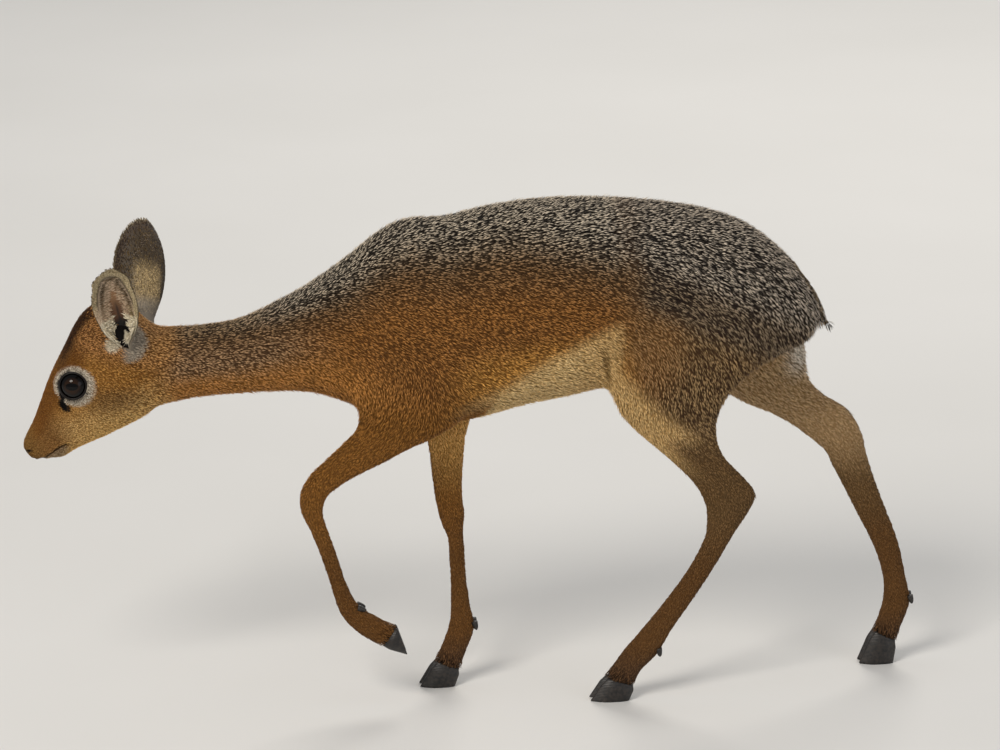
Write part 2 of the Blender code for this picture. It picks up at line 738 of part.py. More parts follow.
def name_pieces(pieces, places, skin):
    """Names each piece after the nearest expected place. A scrap that a cut leaves is removed."""
    free = dict(places)
    for piece in sorted(pieces, key=lambda item: len(item.data.polygons), reverse=True):
        if not free or len(piece.data.polygons) < SCRAP_FACES:
            bpy.data.objects.remove(piece)
            continue
        name = min(free, key=lambda key: np.linalg.norm(centre_of(piece) - free[key]))
        free.pop(name)
        finish(piece, name, skin)


clear_scene()
model = collection("dik_dik")
cutters = collection("cutters")
cutters.hide_render = True

coat = material("short ticked coat", (0.20, 0.125, 0.062), 0.85)
horn = material("black horn", (0.012, 0.010, 0.009), 0.45)
wet_eye = material("wet eye", (0.010, 0.007, 0.005), 0.08)
ear_hair = material("ear skin and hair", (0.16, 0.11, 0.08), 0.85)

# Body with its crest, dewclaws, sockets, mouth, nostrils and the beds of ears and tail
body = flesh(model)
combine(body, [lock(*row) for row in CREST], "UNION", cutters)
for leg, rings, side in LEGS:
    combine(body, dewclaws(rings, side), "UNION", cutters)
hollows = [mouth_slit(), tail_loft(GAP)]
for side in (-1, 1):
    hollows.append(ball("socket", eye_centre(side), EYEBALL_RADIUS + GAP))
    hollows.append(eye_opening(side))
    hollows.append(pit("nostril", NOSTRIL, side, NOSTRIL_SIZE, NOSTRIL_TURN))
    hollows.append(pit("gland", GLAND, side, GLAND_SIZE, GLAND_TURN))
    hollows.append(ear_seat(side))
combine(body, hollows, "DIFFERENCE", cutters)

# Thin cuts across neck and legs
cuts = []
places = {name: place(x, 0, z) for name, (x, z) in TRUNK_PIECES.items()}
for ring in TRUNK_CUTS:
    x, top, bottom, half, level = TRUNK[ring]
    cuts.append(slab((x, top), (x, bottom), 0, half, GAP))
for leg, rings, side in LEGS:
    kind = leg.split("_")[0]
    for mark in LEG_CUTS[kind]:
        front_x, front_z, rear_x, rear_z, middle, half = rings[mark]
        cuts.append(slab((front_x, front_z), (rear_x, rear_z), side * middle, half, GAP))
    ends = [*LEG_CUTS[kind], "coronet"]
    for piece, upper, lower in zip(LEG_NAMES[kind], ends, ends[1:]):
        places[f"{leg}_{piece}"] = ring_middle(rings, side, upper, lower)
combine(body, cuts, "DIFFERENCE", cutters)
name_pieces(loose_pieces(body, model), places, coat)

# The pieces that are made apart
finish(link(tail_loft(0.0), model), "tail", coat)
for side, word in ((-1, "left"), (1, "right")):
    finish(link(ball("eye", eye_centre(side), EYEBALL_RADIUS), model), f"eye_{word}", wet_eye)
    finish(ear(side, model), f"ear_{word}", ear_hair)
for leg, rings, side in LEGS:
    for inner, word in ((1, "outer"), (-1, "inner")):
        finish(link(claw(rings, side, inner, SOLES[leg]), model), f"{leg}_claw_{word}", horn)
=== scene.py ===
"""A dik-dik ewe, life size, walking with her head low, dressed as a still museum model.

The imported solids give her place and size. One skin stands for the nodes of flesh, and a coat of
solid tufts lies on it. Eyes, ears and hooves are pieces of their own. She looks towards -X.
"""

import math

import bmesh
import bpy
import numpy as np
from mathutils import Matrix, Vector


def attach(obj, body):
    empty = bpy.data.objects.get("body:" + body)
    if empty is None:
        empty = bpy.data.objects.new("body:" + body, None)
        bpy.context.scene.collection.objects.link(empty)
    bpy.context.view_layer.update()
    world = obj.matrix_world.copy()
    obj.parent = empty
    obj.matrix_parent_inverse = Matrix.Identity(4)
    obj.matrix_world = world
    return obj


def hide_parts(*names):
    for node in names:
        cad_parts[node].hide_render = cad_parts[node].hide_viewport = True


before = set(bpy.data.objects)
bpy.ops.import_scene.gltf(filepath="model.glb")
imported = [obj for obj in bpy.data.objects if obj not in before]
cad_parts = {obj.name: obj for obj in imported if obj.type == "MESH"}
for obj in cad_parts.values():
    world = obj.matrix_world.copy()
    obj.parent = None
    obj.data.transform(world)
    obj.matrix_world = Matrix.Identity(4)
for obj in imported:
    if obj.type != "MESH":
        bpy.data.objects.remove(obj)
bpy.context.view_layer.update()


# Studio
# A pale floor and pale air, lit softly from above the camera's left, with a fill and a rim light.
# The camera stands nearly side on and a little above her, as the photo was taken.
FLOOR_SIZE = 14.0
CAMERA_AZIMUTH, CAMERA_ELEVATION, CAMERA_DISTANCE = -6.0, 16.0, 5.0
CAMERA_TARGET = (0.0182, 0.0, 0.25744)
CAMERA_LENS, CAMERA_SENSOR = 230.76, 36.0
# Place, size in metres, power in watts and colour of each soft light
LIGHTS = {
    "key": ((-1.6, -2.2, 2.6), 1.4, 84.0, "#fff9f0"),
    "fill": ((2.6, -2.4, 1.2), 2.4, 16.0, "#eef3ff"),
    "rim": ((0.9, 2.4, 2.4), 1.6, 50.0, "#fffaf2"),
}
AIR_COLOUR, AIR_STRENGTH = "#e9ebee", 0.45


def linear(text):
    """An sRGB hex colour as linear red, green and blue."""
    value = np.array([int(text[i : i + 2], 16) for i in (1, 3, 5)]) / 255
    return np.where(value <= 0.04045, value / 12.92, ((value + 0.055) / 1.055) ** 2.4)


def node(tree, kind, inputs=(), **settings):
    """Adds a node. Settings are its own properties, and inputs gives sockets a value or a link."""
    made = tree.nodes.new(kind)
    for name, value in settings.items():
        setattr(made, name, value)
    for socket, value in dict(inputs).items():
        if isinstance(value, bpy.types.NodeSocket):
            tree.links.new(value, made.inputs[socket])
        else:
            made.inputs[socket].default_value = value
    return made


def new_material(name):
    """A material with an empty node tree, and that tree."""
    made = bpy.data.materials.new(name)
    made.use_nodes = True
    made.node_tree.nodes.clear()
    return made, made.node_tree


def rgba(text):
    """An sRGB hex colour as linear red, green and blue, with full alpha."""
    return (*linear(text), 1.0)


def turned(azimuth, elevation):
    """The unit vector from the target towards a camera at these angles."""
    az, el = math.radians(azimuth), math.radians(elevation)
    return np.array([math.sin(az) * math.cos(el), -math.cos(az) * math.cos(el), math.sin(el)])


def aimed(obj, place, target):
    """Puts a light or camera at a place, looking at the target."""
    direction = Vector(np.asarray(target, float) - place)
    obj.location = place
    obj.rotation_euler = direction.to_track_quat("-Z", "Y").to_euler()
    bpy.context.scene.collection.objects.link(obj)


def put_mesh(name, points, faces, material):
    """A smooth mesh object from an array of points and rows of corners."""
    mesh = bpy.data.meshes.new(name)
    mesh.from_pydata(np.asarray(points).reshape(-1, 3).tolist(), [], [list(f) for f in faces])
    mesh.materials.append(material)
    mesh.shade_smooth()
    made = bpy.data.objects.new(name, mesh)
    bpy.context.scene.collection.objects.link(made)
    return made


# Emulsion paint is matt and pale. Its clouds, half a metre across, can hardly be told apart
paint, tree = new_material("matt pale paint")
where = node(tree, "ShaderNodeTexCoord").outputs["Object"]
cloud = node(tree, "ShaderNodeTexNoise", {"Vector": where, "Scale": 2.2, "Detail": 3.0})
tone = node(tree, "ShaderNodeValToRGB", {"Fac": cloud.outputs[0]})
tone.color_ramp.elements[0].color = rgba("#d0cfcc")
tone.color_ramp.elements[1].color = rgba("#dad9d7")
shader = node(tree, "ShaderNodeBsdfPrincipled", {"Base Color": tone.outputs[0], "Roughness": 0.9})
node(tree, "ShaderNodeOutputMaterial", {"Surface": shader.outputs[0]})
half = FLOOR_SIZE / 2
corners = [(-half, -half, 0), (half, -half, 0), (half, half, 0), (-half, half, 0)]
floor = put_mesh("floor", corners, [(0, 1, 2, 3)], paint)

for name, (spot, size, power, colour) in LIGHTS.items():
    lamp = bpy.data.lights.new(name, "AREA")
    lamp.shape, lamp.size, lamp.energy, lamp.color = "DISK", size, power, linear(colour)
    aimed(bpy.data.objects.new(name, lamp), spot, CAMERA_TARGET)

air = bpy.data.worlds.new("pale air")
air.use_nodes = True
air.node_tree.nodes["Background"].inputs["Color"].default_value = rgba(AIR_COLOUR)
air.node_tree.nodes["Background"].inputs["Strength"].default_value = AIR_STRENGTH
bpy.context.scene.world = air
bpy.context.scene.view_settings.view_transform = "Standard"

lens = bpy.data.cameras.new("camera")
lens.lens, lens.sensor_width = CAMERA_LENS, CAMERA_SENSOR
camera = bpy.data.objects.new("camera", lens)
from_target = CAMERA_DISTANCE * turned(CAMERA_AZIMUTH, CAMERA_ELEVATION)
aimed(camera, np.array(CAMERA_TARGET) + from_target, CAMERA_TARGET)
bpy.context.scene.camera = camera


# Body form
# Head, neck, trunk, legs and tail are lofted from egg-shaped rings and grown together in one
# closed surface, the outer face of the coat. The ring tables are in millimetres of the animal,
# counted from a point under the shoulder, as the solids' are.
MM = 0.001
ORIGIN_X = -18.2
BODY_VOXEL = 0.0026
# Points around a ring, and the power of its outline: 2 is an ellipse, and more is squarer
BODY_RING = (72, 2.15)
LEG_RING = (40, 2.1)

# Neck and torso, by upright rings: x, top z, bottom z, half width, height of the widest level
TRUNK = (
    (-286, 296, 246, 17, 0.50), (-268, 305, 240.5, 23, 0.50), (-238, 306, 246, 24, 0.48),
    (-206, 310, 248, 25, 0.47), (-178, 322, 249, 28, 0.46), (-150, 337, 248, 32, 0.45),
    (-121, 357, 239, 37, 0.44), (-96, 377, 227, 41, 0.42), (-74, 387.5, 221, 44, 0.40),
    (-46, 388, 220, 46, 0.40), (-16, 394.5, 225, 49, 0.42), (20, 399.5, 234, 52, 0.44),
    (58, 400.5, 241, 54, 0.46), (96, 398.5, 251, 53, 0.50), (130, 394.5, 268, 49, 0.52),
    (164, 387.5, 281, 46, 0.54), (196, 374.5, 286, 42, 0.55), (223, 351.5, 288, 37, 0.55),
    (241, 326, 290, 29, 0.52), (252, 303, 291, 17, 0.50),
)
# Head, by rings across its own axis: dorsal x, z, ventral x, z, half width, widest level
HEAD = (
    (-372.8, 209.5, -365.5, 201.2, 7.4, 0.50), (-372.0, 216, -361.0, 200.6, 10.3, 0.50),
    (-369.0, 223, -353.5, 201.2, 12.0, 0.50), (-364.0, 233, -341.5, 201.5, 13.2, 0.50),
    (-359.5, 245, -331.0, 207.5, 14.6, 0.48), (-355.0, 257.5, -320.0, 212.5, 17.2, 0.44),
    (-350.0, 269.5, -309.0, 217.0, 21.5, 0.37), (-344.0, 281.5, -299.0, 222.0, 26.0, 0.34),
    (-338.0, 293.5, -289.0, 226.5, 28.0, 0.36), (-331.5, 307, -279.0, 231, 28.5, 0.40),
    (-323.0, 319, -270.0, 237.5, 27.5, 0.44), (-309.0, 327, -265.0, 254, 25.5, 0.47),
    (-291.0, 324, -260.0, 268, 22.0, 0.50), (-274.0, 311, -257.0, 282, 15.0, 0.50),
)
# Legs, by rings: front x, z, rear x, z, distance from the mid plane, half width
FORE_LEFT = (
    (-88, 340, -24, 342, 16, 17), (-112, 300, -18, 304, 24, 20), (-121, 263, -20, 262, 27, 19),
    (-117, 243, -32, 232, 29, 16), (-115, 230, -52, 218, 30, 13.5), (-124, 218, -74, 208, 31, 11.5),
    (-138, 204.5, -96, 196.5, 31, 10.3), (-150, 193.5, -116, 187.5, 32, 9.8),
    (-158, 182, -130, 179, 32, 10), (-160.8, 170.5, -138, 171.5, 32, 10.2),
    (-159.2, 159.5, -141, 160, 32, 9.2), (-153, 145.5, -137.5, 147, 32, 7.4),
    (-145.5, 126.5, -130.5, 126, 32, 6.9), (-138.5, 105, -124, 104.5, 32, 6.9),
    (-134, 89, -117, 88.5, 32, 7.6), (-128, 74, -110.5, 80.5, 32, 8.8),
    (-115.5, 60, -100.5, 74.5, 32, 8.8), (-104, 52.5, -92, 69, 32, 8.6),
    (-97, 49.5, -86, 65.5, 32, 8.6),
)
FORE_RIGHT = (
    (-88, 340, -24, 342, 16, 17), (-108, 298, -16, 304, 24, 20), (-104, 264, -10, 268, 27, 18.5),
    (-82, 240, -13, 242, 27.5, 15.5), (-63, 220, -18, 222, 26, 13), (-56, 199, -24, 200, 24, 11.5),
    (-52.8, 174.5, -26.3, 174.5, 22, 10.3), (-50.5, 155, -27, 155, 20, 10.2),
    (-48, 142.3, -25.6, 142.3, 19, 10.4), (-44.7, 130.5, -26.2, 130, 18.3, 9.4),
    (-40.2, 118.3, -26, 117.3, 17.5, 7.4), (-38.9, 91.2, -24.4, 90.2, 16, 6.9),
    (-38.5, 67.5, -21.5, 66, 15, 7.6), (-39.5, 50.5, -18, 47.5, 14.5, 8.8),
    (-45, 34.5, -24.2, 29, 14, 8.8), (-50.5, 21.5, -30, 14, 13.5, 8.6),
)
HIND_LEFT = (
    (140, 356, 222, 344, 18, 17), (108, 324, 240, 318, 26, 22), (84, 297, 246, 292, 29, 23.5),
    (76.5, 273, 219, 277, 30.5, 22), (79, 252, 194, 261, 31.5, 20), (88, 233, 177, 244, 32.5, 17.5),
    (102, 218, 168.5, 228, 33.5, 14.5), (120, 202, 167, 213, 34, 12),
    (137, 186, 173.5, 196, 34.5, 10.6), (149, 172.5, 188, 180, 35, 10.4),
    (156, 158.5, 198, 166, 35, 10.4), (158.3, 144.5, 193, 151.5, 35, 9.6),
    (156, 129.5, 182, 134, 35, 8.4), (145, 107, 169, 111, 35, 7.9),
    (126.5, 80.5, 151.5, 83, 35, 8), (107, 56, 133.5, 57, 35, 8.8), (93.5, 40, 122, 37, 35, 9.8),
    (85.5, 28.5, 109, 23.5, 35, 9.4), (79.5, 19.5, 103, 12, 35, 9),
)
HIND_RIGHT = (
    (140, 356, 222, 344, 18, 17), (112, 324, 241, 318, 26, 22), (110, 292, 246, 292, 29, 23),
    (128, 264, 247, 270, 30.5, 21), (160, 241, 248, 257, 31.5, 18), (194, 220.5, 249, 243, 32.5, 15),
    (217, 210, 257, 230, 33.5, 12.4), (236, 198.5, 269, 220.5, 34, 10.8),
    (251, 186.5, 282, 211, 35, 10.4), (261.5, 177.5, 292, 193.5, 35, 10.4),
    (267, 166, 296.5, 176, 35, 9.6), (274.5, 151.5, 302, 158, 35, 8.4),
    (287, 126.5, 312, 131, 35, 7.9), (301, 99, 323, 102, 35, 8), (309.5, 74, 329.5, 73, 35, 8.8),
    (311, 56, 333.5, 51, 35, 9.8), (307.5, 40, 328.5, 33.5, 35, 9.4),
    (303, 28, 322.5, 18.5, 35, 9),
)
# Each leg's rings, its side (-1 is her left) and the rings at which it leaves the body
LEGS = {
    "fore_left": (FORE_LEFT, -1, 3),
    "fore_right": (FORE_RIGHT, 1, 3),
    "hind_left": (HIND_LEFT, -1, 4),
    "hind_right": (HIND_RIGHT, 1, 4),
}
# Tail, by rings: x, z, half width, half thickness
TAIL = (
    (213, 357, 7.0, 4.4), (228.5, 341.5, 8.5, 5.2), (240, 327.5, 9.5, 5.5), (249.5, 313, 9.0, 5.2),
    (255.5, 300, 7.0, 4.4), (259, 290, 4.0, 3.0), (260.5, 284, 1.6, 1.4),
)
# Each ear's root point, the way it points, and the way its hollow faces
EARS = {
    -1: ((-292.9, -23.6, 299.6), (-0.216, -0.490, 0.845), (-0.040, -0.840, -0.535)),
    1: ((-277.0, 20.9, 305.0), (0.033, 0.574, 0.818), (-0.416, 0.752, -0.511)),
}
# What sets the left ear off from the right one: its half widths and the curl of its open part are
# so many times, its tip is so much broader and swept back by so many millimetres
EAR_CUP = {-1: (0.78, 0.86, 0.35, 4.2), 1: (1.0, 1.0, 0.0, 0.0)}
# Half width of an ear's foot, and the stump under it: heights, and widths as so many times that
EAR_FOOT_HALF = 0.0086
EAR_STUMP = ((-0.022, 1.7), (-0.01, 1.35), (-0.002, 1.05), (0.002, 0.9))
EYE = (-332.4, 17.6, 265.0)
EYEBALL_RADIUS = 0.0118
EYE_LOOK = (-0.2, 1.0, 0.1)
LID_REACH = 0.0016


def place(x, y, z):
    """Points of the ring tables in the model's own frame, in metres."""
    x, y, z = np.broadcast_arrays(np.asarray(x, float), y, z)
    return np.stack([(x - ORIGIN_X) * MM, y * MM, z * MM], axis=-1)


def table(points):
    """The reverse of place: x, y and z in the tables' millimetres."""
    return points[:, 0] / MM + ORIGIN_X, points[:, 1] / MM, points[:, 2] / MM


def unit(vectors):
    """The vectors at length 1."""
    vectors = np.asarray(vectors, float)
    return vectors / np.maximum(np.linalg.norm(vectors, axis=-1, keepdims=True), 1e-12)


def ramp(value, low, high):
    """0 at low, 1 at high, and smooth between them."""
    t = np.clip((value - low) / (high - low), 0, 1)
    return t * t * (3 - 2 * t)


def smooth_rows(rows, steps):
    """Catmull-Rom curve through the rows of an array, with so many steps between two rows."""
    rows = np.asarray(rows, float)
    ends = np.vstack([2 * rows[0] - rows[1], rows, 2 * rows[-1] - rows[-2]])
    a, b, c, d = (ends[i : len(rows) - 1 + i, None, :] for i in range(4))
    t = np.linspace(0, 1, steps, endpoint=False)[None, :, None]
    curve = 2 * b + (c - a) * t + (2 * a - 5 * b + 4 * c - d) * t**2
    curve = 0.5 * (curve + (3 * b - a - 3 * c + d) * t**3)
    return np.vstack([curve.reshape(-1, rows.shape[1]), rows[-1:]])


def tube_faces(count, around):
    """Quads of a closed tube of rings, and its two end faces."""
    i, j = np.meshgrid(np.arange(count - 1), np.arange(around), indexing="ij")
    k = (j + 1) % around
    quads = np.stack([i * around + j, i * around + k, (i + 1) * around + k, (i + 1) * around + j], -1)
    ends = [list(range(around))[::-1], list(range((count - 1) * around, count * around))]
    return quads.reshape(-1, 4).tolist() + ends


def egg_rings(rows, around, power):
    """Egg-shaped rings. A row is a point A, a point B, the half width, and how far from B to A the
    widest level lies. At angle t a ring is at half width times cos t across, and from that level it
    goes towards A by sin t or towards B by -sin t. Both are first raised to 2 over the power."""
    a, b = rows[:, 0:3], rows[:, 3:6]
    width, level = rows[:, 6:7, None] * MM, rows[:, 7:8, None]
    t = np.linspace(0, 2 * math.pi, around, endpoint=False)[None, :, None]
    cos = np.sign(np.cos(t)) * abs(np.cos(t)) ** (2 / power)
    sin = np.sign(np.sin(t)) * abs(np.sin(t)) ** (2 / power)
    along = np.where(sin > 0, level + (1 - level) * sin, level + level * sin)
    return b[:, None, :] + along * (a - b)[:, None, :] + width * cos * np.array([0.0, 1.0, 0.0])


def limb_rows(rings, side):
    """Rows for egg_rings from a leg's table, on its side."""
    r = smooth_rows(rings, 6)
    y = side * r[:, 4]
    level = np.full((len(r), 1), 0.5)
    return np.hstack([place(r[:, 0], y, r[:, 1]), place(r[:, 2], y, r[:, 3]), r[:, 5:6], level])


def ear_frame(side):
    """Root point and the directions of an ear: up its length, across it, and out of its hollow."""
    root, up, faces = EARS[side]
    up = unit(up)
    faces = unit(np.array(faces) - np.dot(faces, up) * up)
    return place(*root), up, np.cross(up, faces), faces


def eye_frame(side):
    """Centre of an eye, the way it looks, and the long and short directions of its opening. The
    long one runs from the front corner by the tear gland up to the rear corner."""
    look = unit((EYE_LOOK[0], side * EYE_LOOK[1], EYE_LOOK[2]))
    long_way = np.array([0.95, 0.0, 0.31])
    long_way = unit(long_way - long_way @ look * look)
    return place(EYE[0], side * EYE[1], EYE[2]), look, long_way, np.cross(look, long_way)


def ball_rings(centre, radius, rings, around):
    """A ball as rings from pole to pole: radius times sin v around, at height cos v."""
    v = np.linspace(0.06, math.pi - 0.06, rings)[:, None, None]
    t = np.linspace(0, 2 * math.pi, around, endpoint=False)[None, :, None]
    ball = np.concatenate([np.sin(v) * np.cos(t), np.sin(v) * np.sin(t), np.cos(v) + 0 * t], -1)
    return centre + radius * ball


def body_lofts():
    """All the tubes that grow together: trunk, head, legs, tail, lid domes and ear stumps."""
    r = smooth_rows(TRUNK, 6)
    rows = np.hstack([place(r[:, 0], 0.0, r[:, 1]), place(r[:, 0], 0.0, r[:, 2]), r[:, 3:5]])
    lofts = [egg_rings(rows, *BODY_RING)]
    r = smooth_rows(HEAD, 8)
    dorsal, ventral = place(r[:, 0], 0.0, r[:, 1]), place(r[:, 2], 0.0, r[:, 3])
    lofts.append(egg_rings(np.hstack([dorsal, ventral, r[:, 4:5], 1 - r[:, 5:6]]), *BODY_RING))
    lofts += [egg_rings(limb_rows(rings, side), *LEG_RING) for rings, side, _ in LEGS.values()]
    r = smooth_rows(TAIL, 6)
    path = place(r[:, 0], 0.0, r[:, 1])
    out = np.cross(unit(np.gradient(path, axis=0)), [0.0, 1.0, 0.0])
    t = np.linspace(0, 2 * math.pi, 24, endpoint=False)[None, :, None]
    lofts.append(path[:, None, :] + r[:, 2:3, None] * MM * np.cos(t) * np.array([0.0, 1.0, 0.0])
                 + r[:, 3:4, None] * MM * np.sin(t) * out[:, None, :])
    for side in (-1, 1):
        lofts.append(ball_rings(eye_frame(side)[0], EYEBALL_RADIUS + LID_REACH, 24, 36))
        root, up, across, faces = ear_frame(side)
        t = np.linspace(0, 2 * math.pi, 28, endpoint=False)[:, None]
        loop = np.cos(t) * across + np.sin(t) * faces
        wide = EAR_FOOT_HALF * EAR_CUP[side][0]
        lofts.append(np.array([root + up * high + loop * wide * times for high, times in EAR_STUMP]))
    return lofts


def points_of(mesh):
    """Places of a mesh's points, as rows."""
    found = np.empty(len(mesh.vertices) * 3)
    mesh.vertices.foreach_get("co", found)
    return found.reshape(-1, 3)


def set_points(mesh, points):
    """Moves a mesh's points to these rows."""
    mesh.vertices.foreach_set("co", np.ascontiguousarray(points, dtype=np.float32).ravel())
    mesh.update()


def normals_of(mesh):
    """The way the surface faces at each point of a mesh, as rows."""
    found = np.empty(len(mesh.vertices) * 3)
    mesh.vertex_normals.foreach_get("vector", found)
    return found.reshape(-1, 3)


def edges_of(mesh):
    """The two ends of each edge of a mesh, as rows of point numbers."""
    found = np.empty(len(mesh.edges) * 2, int)
    mesh.edges.foreach_get("vertices", found)
    return found.reshape(-1, 2)


def relaxed(points, edges, amount, times):
    """Moves each point towards the mean of its neighbours by its amount, so many times."""
    ends = np.concatenate([edges, edges[:, ::-1]])
    count = np.maximum(np.bincount(ends[:, 0], minlength=len(points)), 1)
    for _ in range(times):
        near = points[ends[:, 1]]
        mean = np.stack([np.bincount(ends[:, 0], near[:, k], len(points)) for k in range(3)], 1)
        points = points + np.asarray(amount)[..., None] * (mean / count[:, None] - points)
    return points


def refine(mesh, near):
    """Splits in four each face in the part of the mesh where near is true at every corner."""
    work = bmesh.new()
    work.from_mesh(mesh)
    chosen = [edge for edge in work.edges if near[edge.verts[0].index] and near[edge.verts[1].index]]
    bmesh.ops.subdivide_edges(work, edges=chosen, cuts=1, use_grid_fill=True)
    work.to_mesh(mesh)
    work.free()


def keep_largest_surface(mesh):
    """Deletes all but the biggest connected piece. Each point takes its neighbours' lowest number
    until nothing changes, so a piece shares one number."""
    edges = edges_of(mesh)
    label = np.arange(len(mesh.vertices))
    while True:
        low = np.minimum(label[edges[:, 0]], label[edges[:, 1]])
        new = label.copy()
        np.minimum.at(new, edges[:, 0], low)
        np.minimum.at(new, edges[:, 1], low)
        new = new[new]
        if (new == label).all():
            break
        label = new
    biggest = np.argmax(np.bincount(label))
    if (label == biggest).all():
        return
    work = bmesh.new()
    work.from_mesh(mesh)
    work.verts.ensure_lookup_table()
    loose = [work.verts[i] for i in np.nonzero(label != biggest)[0]]
    bmesh.ops.delete(work, geom=loose, context="VERTS")
    work.to_mesh(mesh)
    work.free()


def grown_together(lofts):
    """One closed surface from the lofts by a voxel mesh. Folds between legs, neck and torso are
    filled by smoothing, which hardly touches the legs and the face."""
    mesh = bpy.data.meshes.new("skin")
    start, points, faces = 0, [], []
    for rings in lofts:
        count, around = rings.shape[:2]
        points.append(rings.reshape(-1, 3))
        faces += [[corner + start for corner in face] for face in tube_faces(count, around)]
        start += count * around
    mesh.from_pydata(np.vstack(points).tolist(), [], faces)
    work = bmesh.new()
    work.from_mesh(mesh)
    bmesh.ops.recalc_face_normals(work, faces=work.faces)
    work.to_mesh(mesh)
    work.free()
    body = bpy.data.objects.new("skin", mesh)
    bpy.context.scene.collection.objects.link(body)
    join = body.modifiers.new("join", "REMESH")
    join.mode, join.voxel_size = "VOXEL", BODY_VOXEL
    graph = bpy.context.evaluated_depsgraph_get()
    made = bpy.data.meshes.new_from_object(body.evaluated_get(graph))
    body.modifiers.clear()
    body.data = made
    bpy.data.meshes.remove(mesh)
    keep_largest_surface(made)
    points = points_of(made)
    x, _, z = table(points)
    fold = 1 - np.maximum((1 - ramp(z, 215, 250)) * 0.92, (1 - ramp(x, -300, -262)) * 0.95)
    points = relaxed(points, edges_of(made), 0.6 * fold, 26)
    points = relaxed(points, edges_of(made), np.full(len(points), 0.5), 3)
    set_points(made, points)
    return body


skin = grown_together(body_lofts())
form = skin.data

# The mesh is split finer over the head, and again near the eyes and on the muzzle
FINE_HEAD_X, FINE_EYE, FINE_MUZZLE = -262, 17.5, (-338, 224)
x, y, z = table(points_of(form))
refine(form, x < FINE_HEAD_X)
x, y, z = table(points_of(form))
from_eye = np.sqrt((x - EYE[0]) ** 2 + (abs(y) - EYE[1]) ** 2 + (z - EYE[2]) ** 2)
refine(form, (from_eye < FINE_EYE) | ((x < FINE_MUZZLE[0]) & (z < FINE_MUZZLE[1])))
x, y, z = table(points_of(form))
points = relaxed(points_of(form), edges_of(form), 0.5 * (x < FINE_HEAD_X + 2), 4)
set_points(form, points)


# Coat lengths and skin depth
# The hair is longest on the back and rump and shortest on face and feet. The skin lies inside the
# body form by the coat's depth.
def graded(value, places, sizes):
    """Reads a size at each value from a few places along a line."""
    return np.interp(value, places, sizes)


def coat_depth(points):
    """Depth of the coat in metres: thin on face and lower legs, deep on neck, back and rump."""
    x, _, z = table(points)
    body = graded(x, (-372, -345, -300, -262, -150, 0, 240), (0.5, 0.8, 1.4, 2.0, 2.8, 3.0, 3.2))
    leg = graded(z, (0, 60, 160, 215, 255), (0.5, 0.7, 1.0, 1.5, 2.8))
    on_leg = 1 - ramp(z, 225, 262)
    on_leg = np.where(x > -200, on_leg, 0)
    return (body * (1 - on_leg) + leg * on_leg) * MM


# Eye openings, tear glands, nostrils and mouth
# Folds of the skin itself. The lids stand on the eyeball and are hollowed inside the almond of
# the eye. Gland, nostrils and mouth are sunk into the muzzle.
LID_HALF = (0.0099, 0.0094)
# How much narrower than an ellipse the opening is at its corners
ALMOND = 0.10
# The lids are cut away inside the opening down to this share of the eyeball's radius
LID_HOLLOW = 0.82
GLAND = (-341.6, 20.5, 247.4)
GLAND_SIZE = (3.4, 5.6)
# A line of bare skin runs from the gland up to the eye's front corner, by x and z
TEAR_LINE = ((-341.8, 248.5), (-342.0, 255.0), (-340.6, 261.5))
NOSTRIL = (-369.6, 7.6, 208.6)
MOUTH = ((-361, 201.5), (-356.8, 203.4), (-353, 206.5), (-348.5, 210), (-344, 213), (-339.5, 215.3))
# The mouth's folds lie in front of this x, where the skin faces this much sideways
MOUTH_CORNER, MOUTH_FACES = -338, 0.25
# How deep gland, nostrils and mouth are sunk, and how far the lips beside the mouth stand out
GLAND_DEPTH, NOSTRIL_DEPTH, MOUTH_DEPTH, LIP_SWELL = 1.5, 2.6, 1.3, 0.45
# An offset that stands for out of reach
FAR = 99.0


def almond(points, side):
    """How far out of the eye opening each point lies, under 1 in the almond between the lids, and
    the point's distance and direction from the eyeball's centre."""
    centre, look, long_way, short_way = eye_frame(side)
    offset = points - centre
    far = np.linalg.norm(offset, axis=1)
    u = offset / np.maximum(far, 1e-9)[:, None]
    a = u @ long_way / (LID_HALF[0] / EYEBALL_RADIUS)
    b = u @ short_way / (LID_HALF[1] / EYEBALL_RADIUS)
    narrow = 1 - ALMOND * np.clip(abs(a), 0, 1) ** 4
    out = np.sqrt(a**2 + (b / narrow) ** 2)
    return np.where(u @ look > 0.1, out, FAR), far, u


def line_distance(x, z, line):
    """Distance in the side view from points to a smooth line, drawn as a chain of short ones."""
    line = smooth_rows(line, 4)
    a, b = line[:-1], line[1:]
    d = b - a
    t = ((x[:, None] - a[:, 0]) * d[:, 0] + (z[:, None] - a[:, 1]) * d[:, 1]) / (d**2).sum(1)
    t = np.clip(t, 0, 1)
    return np.hypot(x[:, None] - a[:, 0] - t * d[:, 0], z[:, None] - a[:, 1] - t * d[:, 1]).min(1)


def gland_offset(x, y, z):
    """Distance from the tear gland, 1 at its edge. It slants down from the eye's front corner."""
    dx, dz = x - GLAND[0], z - GLAND[2]
    along = -0.55 * dx + 0.84 * dz
    across = 0.84 * dx + 0.55 * dz
    offset = np.sqrt((across / GLAND_SIZE[0]) ** 2 + (along / GLAND_SIZE[1]) ** 2)
    return offset + (abs(y) < 8) * FAR


def nostril_offset(x, y, z):
    """Distance from the comma of the nostril, 1 at its edge: it slants up and back."""
    dx, dy, dz = x - NOSTRIL[0], abs(y) - NOSTRIL[1], z - NOSTRIL[2]
    along = 0.75 * dx + 0.66 * dz - 0.25 * dy
    across = -0.66 * dx + 0.75 * dz + 0.10 * along**2
    return np.sqrt((along / 3.0) ** 2 + (across / 1.3) ** 2 + (dy / 6.0) ** 2)


